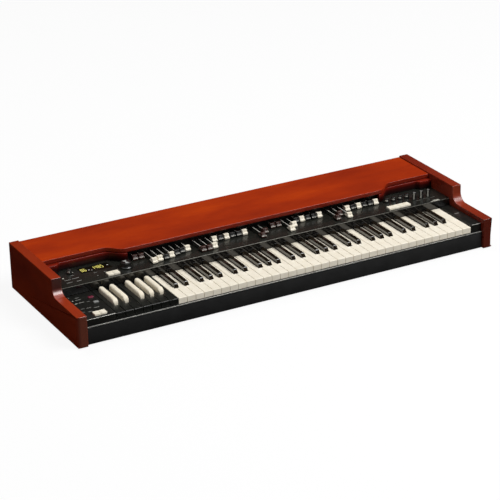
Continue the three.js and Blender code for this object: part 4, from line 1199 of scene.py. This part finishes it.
@dataclass
class DrawbarDeck:
    """Four sets of nine drawbars and two pedal drawbars in their slotted chassis."""

    pitch: float = 17.4
    click: float = 5.25
    home: float = 209.0
    yoke: float = 304.5
    colours: tuple[CapColour, ...] = (
        CapColour.BROWN, CapColour.BROWN, CapColour.IVORY, CapColour.IVORY, CapColour.BLACK,
        CapColour.IVORY, CapColour.BLACK, CapColour.BLACK, CapColour.IVORY,
    )
    footage: tuple[str, ...] = ("16", "5", "8", "4", "2", "2", "1", "1", "1")
    pedal_footage: tuple[str, ...] = ("16", "8")
    slides: tuple[Slide, ...] = (
        Slide("drawbars_a_1_2", -13.3, 0, (0, 0)),
        Slide("drawbars_a_3_5", -13.3, 2, (8, 7, 7)),
        Slide("drawbars_a_6_7", -13.3, 5, (6, 5)),
        Slide("drawbars_a_8_9", -13.3, 7, (4, 3)),
        Slide("drawbars_b_1_3", 158.1, 0, (8, 8, 7)),
        Slide("drawbars_b_4_9", 158.1, 3, (0, 0, 0, 0, 0, 0)),
        Slide("pedal_drawbar_1", 329.5, 0, (8,), True),
        Slide("pedal_drawbar_2", 329.5, 1, (4,), True),
        Slide("drawbars_c_1_2", 379.1, 0, (0, 0)),
        Slide("drawbars_c_3_4", 379.1, 2, (8, 4)),
        Slide("drawbars_c_5_9", 379.1, 4, (0, 0, 0, 0, 0)),
        Slide("drawbars_d_1_3", 550.5, 0, (8, 4, 8)),
        Slide("drawbars_d_4_9", 550.5, 3, (0, 0, 0, 0, 0, 0)),
    )

    def cap(self) -> Object:
        """Models a cap at x = 0 with its front at y = 0: foot, waisted face, flared crown."""
        # height, front, rear and half width of each level, from the bottom to the crown
        levels = [
            (24.8, 0.5, 10.6, 6.6), (24.95, 0.2, 11.0, 6.9), (26.6, 0.05, 16.0, 7.2),
            (28.2, 0.0, 20.6, 7.3), (28.7, 0.0, 21.0, 7.3), (28.95, 0.2, 21.0, 7.2),
            (30.0, 2.0, 20.4, 6.9), (30.4, 2.5, 20.0, 6.7), (31.2, 3.0, 19.0, 6.5),
            (34.3, 4.6, 15.4, 6.5), (35.2, 4.9, 14.2, 6.8), (35.8, 5.0, 13.4, 7.0),
            (36.3, 5.2, 12.8, 7.1), (36.7, 5.5, 12.2, 7.05), (36.95, 6.0, 11.6, 6.8),
            (37.0, 6.7, 10.9, 6.3),
        ]
        rounding = 0.9
        corners: list[tuple[float, float, int, int]] = []
        for right, back, first in ((1, -1, 270), (1, 1, 0), (-1, 1, 90), (-1, -1, 180)):
            for i in range(4):
                turn = math.radians(first + 30 * i)
                dx, dy = rounding * (math.cos(turn) - right), rounding * (math.sin(turn) - back)
                corners.append((dx, dy, right, back))
        corners.reverse()

        def place(i: int, k: int) -> Vector:
            height, front, rear, half = levels[k]
            dx, dy, right, back = corners[i]
            share = min(1.0, (rear - front) / (3 * rounding))
            return at(right * half + dx, (rear if back > 0 else front) + dy * share, height)

        return Bench.smooth(Bench.loft("pattern_cap", len(corners), len(levels), place), 38)

    def number(self, text: str) -> Object:
        """Models the printed footage number on the face of a cap at x = 0."""
        Bench.clear()
        bpy.ops.object.text_add(location=(0, 0, 0))
        label = bpy.context.object
        label.data.body = text
        label.data.size = 4.4 * MM
        label.data.align_x = "CENTER"
        label.data.resolution_u = 2
        label.data.extrude = 0.03 * MM
        bpy.ops.object.convert(target="MESH")
        label = bpy.context.object
        climb, depth = 3.1, 1.6
        tilt = Matrix.Rotation(math.atan2(climb, depth), 4, "X")
        label.data.transform(Matrix.Translation(at(0, 2.98, 31.25)) @ tilt)
        label.name = label.data.name = "pattern_number_" + text
        return label

    def build_slide(self, slide: Slide, patterns: dict[str, Object]) -> None:
        """Builds the bars of one carriage and the yoke that joins them."""
        node = slide.node
        for i, clicks in enumerate(slide.clicks):
            number = slide.first + i
            colour = CapColour.BROWN if slide.pedal else self.colours[number]
            text = (self.pedal_footage if slide.pedal else self.footage)[number]
            ivory = colour is CapColour.IVORY
            cap_slot, ink_slot = "brown_plastic", "ivory_plastic"
            if ivory:
                cap_slot, ink_slot = ink_slot, cap_slot
            parts = [("cap", "cap", colour.value, cap_slot, [node])]
            parts += [("rod", "rod", CAP_BLACK, "black_plastic", [node])]
            # the light grey line along the rod's top is a painted highlight
            parts += [("highlight_stripe", "rod_face", ROD_PAINTED_HIGHLIGHT, "steel_sheet", [])]
            parts += [] if ivory else [("strip", "cap_strip", STRIP_INK, "ivory_plastic", [])]
            parts += [(text, "cap_number", BROWN_INK if ivory else GREY_INK, ink_slot, [])]
            x, out = slide.start + number * self.pitch, self.home - clicks * self.click
            for kind, stem, finish, slot, nodes in parts:
                part = Bench.copy(patterns[kind], f"{stem}_{node}_{i + 1}", x, out)
                Bench.seat(part, finish, node, slot, *nodes)
        x0 = slide.start + slide.first * self.pitch
        x1 = x0 + (len(slide.clicks) - 1) * self.pitch
        y = self.yoke - min(slide.clicks) * self.click
        yoke = Bench.block(f"yoke_{node}", (x0 - 2.5, x1 + 2.5), (y, y + 6), (28.4, 34.8))
        Bench.seat(Bench.soften(yoke, 0.4), CAP_BLACK, node, "black_plastic", node)

    def build(self) -> None:
        """Builds every slide from one pattern of each part."""
        rod = Bench.block("pattern_rod", (-2.5, 2.5), (6.5, 165.0), (28.4, 31.6))
        highlight_stripe = Bench.block("pattern_stripe", (-1.0, 1.0), (19.5, 164.0), (31.5, 31.75))
        line = [(0.15, 28.87), (1.15, 29.47), (1.05, 29.75), (0.05, 29.15)]
        patterns = {
            "cap": self.cap(),
            "rod": Bench.soften(rod, 0.35),
            "highlight_stripe": Bench.soften(highlight_stripe, 0.08),
            "strip": Bench.side("pattern_strip", line, -6.2, 6.2),
        }
        for text in sorted({*self.footage, *self.pedal_footage}):
            patterns[text] = self.number(text)
        for slide in self.slides:
            self.build_slide(slide, patterns)
        Bench.discard(*patterns.values())


# --------------------------------------------------------------------------------------------
# Controls


@dataclass(frozen=True)
class KnobSize:
    """The sizes of one kind of knob, in mm."""

    radius: float
    height: float
    crown: float
    ribs: float
    sides: int


SMALL_KNOB = KnobSize(radius=7.2, height=11.0, crown=5.6, ribs=0.35, sides=48)
TALL_KNOB = KnobSize(radius=6.0, height=20.0, crown=5.0, ribs=0.3, sides=40)
WIDE_KNOB = KnobSize(radius=16.5, height=14.0, crown=13.0, ribs=0.5, sides=96)


@dataclass
class Controls:
    """Knobs, rocker tabs and push buttons; the knobs' marks point toward the player's left."""

    deck: float = 23.6
    toward: float = -136.0

    def knob(self, name: str, x: float, y: float, size: KnobSize) -> None:
        """Turns a knob: ribbed grip, skirt and marks, on tall knobs also painted highlights."""
        low = self.deck + 0.5
        high = low + size.height
        skirt = size.height / 5
        mid = (size.radius + size.crown) / 2
        rim = [(size.radius, low + skirt * 0.8), (mid + 0.2, low + skirt * 1.3)]
        profile = [(3.0, self.deck - 8), (3.0, low), (size.radius - 0.3, low)]
        profile += [(size.radius, low + 0.3), *rim]
        profile += [(mid, low + skirt * 1.6), (size.crown + 0.1, high - 1.2)]
        profile += [(size.crown - 0.1, high - 0.5), (size.crown - 0.9, high)]
        body = Bench.turned(f"{name}_body", x, y, profile, size.sides, size.ribs, range(6, 9))
        Bench.seat(Bench.smooth(body, 40), KNOB_PHENOLIC, name, "black_plastic", name)
        if size is TALL_KNOB:
            # painted highlights of the tall knob: a stripe down its side and a crescent on its
            # top's near rim, both turned toward the camera
            levels = [(size.radius, low + 0.6), *rim]
            levels += [(mid, low + skirt * 1.7), (size.crown + 0.1, high - 1.2)]
            self.side_mark_and_highlight(name, x, y, levels, 20.0)
            sweep = (self.toward - 58, self.toward + 58)
            ring = arc((0, 0), 4.2, *sweep, 8) + arc((0, 0), 2.4, *sweep[::-1], 8)
            self.top_mark_and_highlight(name, x, y, high, ring, 0.0)
        elif size is WIDE_KNOB:
            half = [(5.8, 8.6), (-5.8, 8.6), (-1.4, 0.8), (-1.4, -0.8)]
            self.top_mark_and_highlight(name, x, y, high, half + [(-u, -v) for u, v in half], 6.0)
        else:
            levels = [(mid, low + skirt * 2.0), (mid - 0.4, low + skirt * 3.4)]
            self.side_mark_and_highlight(name, x, y, levels, 38.0)

    def side_mark_and_highlight(
        self, name: str, x: float, y: float, levels: Sequence[Point], half: float
    ) -> None:
        """Prints a mark on a knob's side from level to level, half its width given in degrees."""
        steps = 6
        sweep = [math.radians(self.toward + half * (2 * i / steps - 1)) for i in range(steps + 1)]

        def place(i: int, k: int) -> Vector:
            radius, height = levels[k]
            outer = i <= steps
            radius += 0.12 if outer else -0.4
            turn = sweep[i] if outer else sweep[2 * steps + 1 - i]
            return at(x + radius * math.cos(turn), y + radius * math.sin(turn), height)

        mark = Bench.loft(f"{name}_face_mark", 2 * (steps + 1), len(levels), place)
        Bench.seat(mark, STRIP_INK, name, "ivory_plastic")

    def top_mark_and_highlight(
        self, name: str, x: float, y: float, high: float, outline: Sequence[Point], degrees: float
    ) -> None:
        """Prints a silver mark on a knob's top, its outline turned by so many degrees."""
        c, s = math.cos(math.radians(degrees)), math.sin(math.radians(degrees))
        points = [(x + u * c - v * s, y + u * s + v * c) for u, v in outline]
        mark = Bench.plan(f"{name}_pointer", points, high - 0.1, high + 0.1)
        Bench.seat(mark, SILVER_INK, name, "ivory_plastic")

    def tab_pattern(self) -> Object:
        """Models a rocker tab with its left front corner at the origin: dished top, soft edges."""
        depth, rise, drop = 18.0, 4.5, 5.0
        profile: list[Point] = [(0.0, -drop), (depth, -drop), (depth, rise - 0.9)]
        profile += [(depth - 0.3, rise - 0.3), (depth - 0.9, rise)]
        for i in range(1, 8):
            t = i / 8
            profile.append((depth - 0.9 - (depth - 1.8) * t, rise - 0.45 * math.sin(math.pi * t)))
        profile += [(0.9, rise), (0.3, rise - 0.3), (0.0, rise - 0.9)]
        tab = Bench.side("pattern_tab", profile, 0.0, 15.7)
        return Bench.soften(tab, 0.45, angle=50)

    def build(self) -> None:
        """Builds every control."""
        self.knob("volume_knob", -188.0, 224.0, SMALL_KNOB)
        self.knob("vibrato_knob", -51.0, 187.0, WIDE_KNOB)
        for i in range(4):
            self.knob(f"effect_knob_{i + 1}", 721.8 + 20.6 * i, 210.0, SMALL_KNOB)
        for i in range(3):
            self.knob(f"level_knob_{i + 1}", 794.8 + 21.8 * i, 190.0, TALL_KNOB)
        pattern = self.tab_pattern()
        for stem, left, front, surface, count in (
            ("drive_tab", -111.6, 159.0, self.deck, 2),
            ("voice_tab", 699.4, 159.0, self.deck, 4),
            ("block_tab", -216.5, 11.0, 0.8, 2),
        ):
            for i in range(count):
                name = f"{stem}_{i + 1}"
                tab = Bench.copy(pattern, f"{name}_cap", left + 16.3 * i, front, surface)
                Bench.seat(tab, CAP_IVORY, name, "ivory_plastic", name)
        Bench.discard(pattern)
        for name, y, finish, slot in (
            ("record_button", 114.0, BUTTON_RED, "red_plastic"),
            ("split_button", 83.0, BUTTON_GREY, "grey_plastic"),
        ):
            button = Bench.block(f"{name}_cap", (-188.0, -175.0), (y - 4.5, y + 4.5), (-4.2, 3.4))
            Bench.seat(Bench.soften(button, 1.1, 4), finish, name, slot, name)


# --------------------------------------------------------------------------------------------
# Panel dress and the works


SEGMENTS = {
    "0": ("top", "low", "rear_left", "front_left", "rear_right", "front_right"),
    "1": ("rear_right", "front_right"),
    "4": ("mid", "rear_left", "rear_right", "front_right"),
    "5": ("top", "mid", "low", "rear_left", "front_right"),
    "6": ("top", "mid", "low", "rear_left", "front_left", "front_right"),
    "8": ("top", "mid", "low", "rear_left", "front_left", "rear_right", "front_right"),
}


@dataclass
class PanelDress:
    """The strip, the display and the prints on the folded panel and the blocks."""

    deck: float = 23.6
    window: float = 23.75

    def bars(self, name: str, rows: Sequence[Quad], z: float, ink: Finish) -> None:
        """Prints a group of small bars: left, front, width and depth of each, on a surface at z."""
        parts = [
            Bench.block(f"{name}_{i}", (x, x + w), (y, y + d), (z - 0.02, z + 0.05))
            for i, (x, y, w, d) in enumerate(rows)
        ]
        Bench.seat(Bench.join(name, parts), ink, "case", "ivory_plastic")

    def build(self) -> None:
        """Dresses the panel and builds what is on it."""
        strip = [(148.75, 22.5), (149.4, 22.5), (149.8, 23.5), (150.6, 23.5), (150.6, 23.85)]
        strip += [(149.4, 23.85), (148.75, 23.3)]
        nose = Bench.side("panel_fold_strip", strip, -246.8, 879.0)
        Bench.seat(Bench.soften(nose, 0.15), FOLD_TRIM_SHADED, "case", "steel_sheet")
        pane = Bench.block("display_pane", (-162.0, -80.0), (206.0, 238.0), (21.6, self.window))
        Bench.seat(Bench.soften(pane, 0.3), WINDOW, "case", "display_plastic", "display_window")
        self.display()
        self.legends()

    def display(self) -> None:
        """The lit characters, in two groups, and small pale marks between and beside them."""
        pitch, width, thick, high = 7.8, 5.2, 1.2, 7.6
        rows: list[Quad] = []
        # each character is drawn with strokes in cells of its own: left, front, width and depth
        for left, front, kinds in ((-157.0, 215.6, "06"), (-126.0, 217.2, "1485")):
            for i, kind in enumerate(kinds):
                x = left + i * pitch
                right = x + width - thick
                levels = enumerate(("low", "mid", "top"))
                strokes = {part: (x, front + high * k, width, thick) for k, part in levels}
                for side, start in (("left", x), ("right", right)):
                    strokes[f"front_{side}"] = (start, front + thick / 2, thick, high)
                    strokes[f"rear_{side}"] = (start, front + high + thick / 2, thick, high)
                rows += [strokes[part] for part in SEGMENTS[kind]]
        self.bars("display_characters", rows, self.window, LIT_INK)
        dots = [(-139.0, 217.0, 3.4, 3.4), (-132.5, 214.0, 2.6, 2.2), (-86.6, 222.5, 3.4, 3.4)]
        self.bars("display_marks", dots, self.window, WHITE_INK)

    def legends(self) -> None:
        """Short printed bars where the panel explains its controls."""
        deck = [
            (-195.6, 190.0, 18.8, 2.0), (-215.9, 188.6, 16.3, 2.2), (-190.6, 170.8, 12.4, 2.6),
            (-216.3, 172.2, 14.2, 2.2), (-189.9, 208.4, 8.0, 2.0), (-134.0, 196.0, 9.0, 1.4),
            (-110.0, 190.0, 8.0, 1.4), (-134.0, 176.0, 4.0, 2.4),
        ]
        self.bars("deck_legends_left", deck, self.deck, GREY_INK)
        marks = [(-216.1, 201.2, 4.4, 4.4), (-191.0, 226.4, 4.0, 2.4), (-181.6, 225.0, 4.4, 2.8)]
        self.bars("deck_marks_left", marks, self.deck, STRIP_INK)
        right = [(791.5, 177.0, 17.0, 1.8), (815.9, 179.6, 14.6, 1.8), (838.0, 178.0, 13.6, 1.8)]
        self.bars("deck_legends_right", right, self.deck, DIM_INK)
        bright = [(823.0, 151.2, 27.0, 3.4), (832.0, 156.2, 17.0, 2.8)]
        self.bars("deck_rows_right", bright, self.deck, STRIP_INK)
        block = [
            (-217.2, 127.0, 10.6, 1.8), (-221.4, 115.0, 14.6, 2.4), (-220.0, 97.2, 14.4, 2.6),
            (-199.8, 94.8, 6.9, 1.6), (-230.8, 62.2, 9.6, 1.8), (-216.1, 61.0, 11.9, 1.8),
            (-199.9, 54.8, 15.2, 2.0), (-238.0, 44.0, 10.0, 1.4), (-222.0, 40.0, 12.0, 1.6),
        ]
        self.bars("block_legends", block, 0.8, GREY_INK)
        dots = [(-232.2, 136.0, 2.6, 2.2), (-230.3, 114.6, 3.6, 2.6), (-231.0, 96.2, 7.0, 2.6)]
        self.bars("block_marks", dots, 0.8, STRIP_INK)
        self.bars("right_block_mark", [(855.0, 86.0, 13.0, 2.6)], 5.0, GREY_INK)


class Works:
    """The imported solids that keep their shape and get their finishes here."""

    def build(self, nodes: dict[str, Object]) -> None:
        """Puts a finish on each solid that stays.

        Args:
            nodes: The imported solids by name.
        """
        finishes = {
            "control_panel": DECK_COAT,
            "drawbar_chassis": CAP_BLACK,
            "keybed_frame": STEEL,
            "tone_generator_board": BOARD,
            "power_supply": STEEL,
            "socket_plate": SHEET_PAINT,
        }
        for name, finish in finishes.items():
            mesh = nodes[name].data
            mesh.materials.clear()
            mesh.materials.append(finish.material())
            log.info("%s keeps its solid, finished in %s", name, finish.name)


# --------------------------------------------------------------------------------------------
# Studio


@dataclass
class Studio:
    """Camera, floor, world and lamps."""

    focal_pixels: float = 2091.7086
    place: Triple = (-2.305098, -4.345645, 2.180075)
    right: Triple = (0.87967238, -0.47500876, -0.02330633)
    down: Triple = (-0.20763657, -0.33951159, -0.91739792)
    ahead: Triple = (0.42785928, 0.81184885, -0.39728815)
    aim: Triple = (0.05, 0.0, 0.06)

    def camera(self) -> None:
        """Sets the photograph's camera, solved from the key pitch."""
        lens = bpy.data.cameras.new("camera")
        lens.sensor_width = 36.0
        lens.lens = self.focal_pixels * lens.sensor_width / IMAGE_PIXELS
        lens.clip_start, lens.clip_end = 0.1, 100.0
        camera = bpy.data.objects.new("camera", lens)
        axes = (Vector(self.right), -Vector(self.down), -Vector(self.ahead))
        turn = Matrix(axes).transposed().to_4x4()
        camera.matrix_world = Matrix.Translation(Vector(self.place)) @ turn
        bpy.context.collection.objects.link(camera)
        bpy.context.scene.camera = camera

    def seen(self, graph: Graph) -> Socket:
        """Gives 1 for rays from the camera, in gloss and through glass, and 0 for all others."""
        rays = graph.node("LightPath").outputs
        direct = graph.calc("MAXIMUM", rays["Is Camera Ray"], rays["Is Glossy Ray"])
        return graph.calc("MAXIMUM", direct, rays["Is Transmission Ray"])

    def floor(self) -> None:
        """A white seamless floor that keeps a little of the organ's shadow."""
        Bench.clear()
        bpy.ops.mesh.primitive_plane_add(size=60, location=(0, 0, 0))
        floor = bpy.context.object
        floor.name = floor.data.name = "studio_floor"
        material = bpy.data.materials.new("studio_paper_white")
        material.use_nodes = True
        graph = Graph(material.node_tree)
        graph.tree.nodes.clear()
        shades = (linear("#707070"), linear("#F4F4F4"))
        dim, lit = (graph.node("BsdfDiffuse", {"Color": c}).outputs[0] for c in shades)
        white = graph.node("Emission", {"Color": linear("#FFFFFF"), "Strength": 1.0}).outputs[0]
        paper = graph.node("MixShader", {0: 0.9, 1: lit, 2: white}).outputs[0]
        both = graph.node("MixShader", {0: self.seen(graph), 1: dim, 2: paper}).outputs[0]
        graph.node("OutputMaterial", {"Surface": both})
        floor.data.materials.append(material)

    def world(self) -> None:
        """A dim even world for the object that looks white behind it."""
        world = bpy.data.worlds.new("studio_world")
        world.use_nodes = True
        graph = Graph(world.node_tree)
        graph.tree.nodes.clear()
        light = {"Color": linear("#FFFFFF"), "Strength": graph.span(self.seen(graph), (0.16, 1.0))}
        graph.node("OutputWorld", {"Surface": graph.node("Background", light).outputs[0]})
        bpy.context.scene.world = world

    def flag(self, name: str, place: Vector, turn: Triple, width: float, height: float) -> None:
        """Hangs a black card that only the organ's gloss shows, so that its lacquer looks deep."""
        Bench.clear()
        bpy.ops.mesh.primitive_plane_add(size=1, location=place, rotation=turn)
        card = bpy.context.object
        card.scale = (width, height, 1)
        card.name = card.data.name = name
        known = bpy.data.materials.get("studio_velvet_black")
        velvet = known or bpy.data.materials.new("studio_velvet_black")
        velvet.use_nodes = True
        black = {"Base Color": linear("#000000"), "Specular IOR Level": 0.0}
        Graph(velvet.node_tree).feed(velvet.node_tree.nodes["Principled BSDF"], black)
        card.data.materials.append(velvet)
        for kind in ("camera", "diffuse", "shadow", "transmission"):
            setattr(card, f"visible_{kind}", False)

    def flags(self) -> None:
        """A ring of cards round the organ, low ones in front of it, and one under it."""
        radius, width, tall, low, start, apart = 2.6, 2.5, 3.4, 2.15, -44.2, 50
        for i in range(7):
            angle = math.radians(start + apart * i)
            height = tall if i < 4 else low
            spot = Vector((radius * math.sin(angle), radius * math.cos(angle), height / 2 - 0.05))
            self.flag(f"studio_flag_{i + 1}", spot, (math.pi / 2, 0.0, -angle), width, height)
        self.flag("studio_flag_under", Vector((0, 0, 0.0006)), (0.0, 0.0, 0.0), 4.9, 4.9)

    def lamp(self, name: str, toward: Triple, distance: float, size: float, watts: float) -> Object:
        """Hangs one soft lamp in a direction from the organ's middle and turns it to the organ."""
        data = bpy.data.lights.new(name, "AREA")
        data.shape = "DISK"
        data.size = size
        data.energy = watts
        lamp = bpy.data.objects.new(name, data)
        direction = Vector(toward).normalized()
        lamp.location = Vector(self.aim) + direction * distance
        lamp.rotation_mode = "QUATERNION"
        lamp.rotation_quaternion = direction.to_track_quat("Z", "Y")
        bpy.context.collection.objects.link(lamp)
        return lamp

    def build(self) -> None:
        """Builds the studio."""
        self.camera()
        self.floor()
        self.world()
        self.flags()
        self.lamp("key_lamp", (0.4, -0.45, 0.8), 5.5, 3.4, 312.0)
        fill = self.lamp("fill_lamp", (-0.25, 0.42, 0.87), 4.0, 1.6, 36.0)
        fill.visible_glossy = False
        bpy.context.scene.view_settings.view_transform = "Standard"


def main() -> None:
    """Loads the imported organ, dresses it and reports every piece."""
    logging.basicConfig(level=logging.INFO, format="%(message)s")
    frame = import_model()
    Studio().build()
    Case().build()
    Keyboard().build()
    DrawbarDeck().build()
    Controls().build()
    PanelDress().build()
    Works().build(frame["nodes"])


if __name__ == "__main__":
    main()
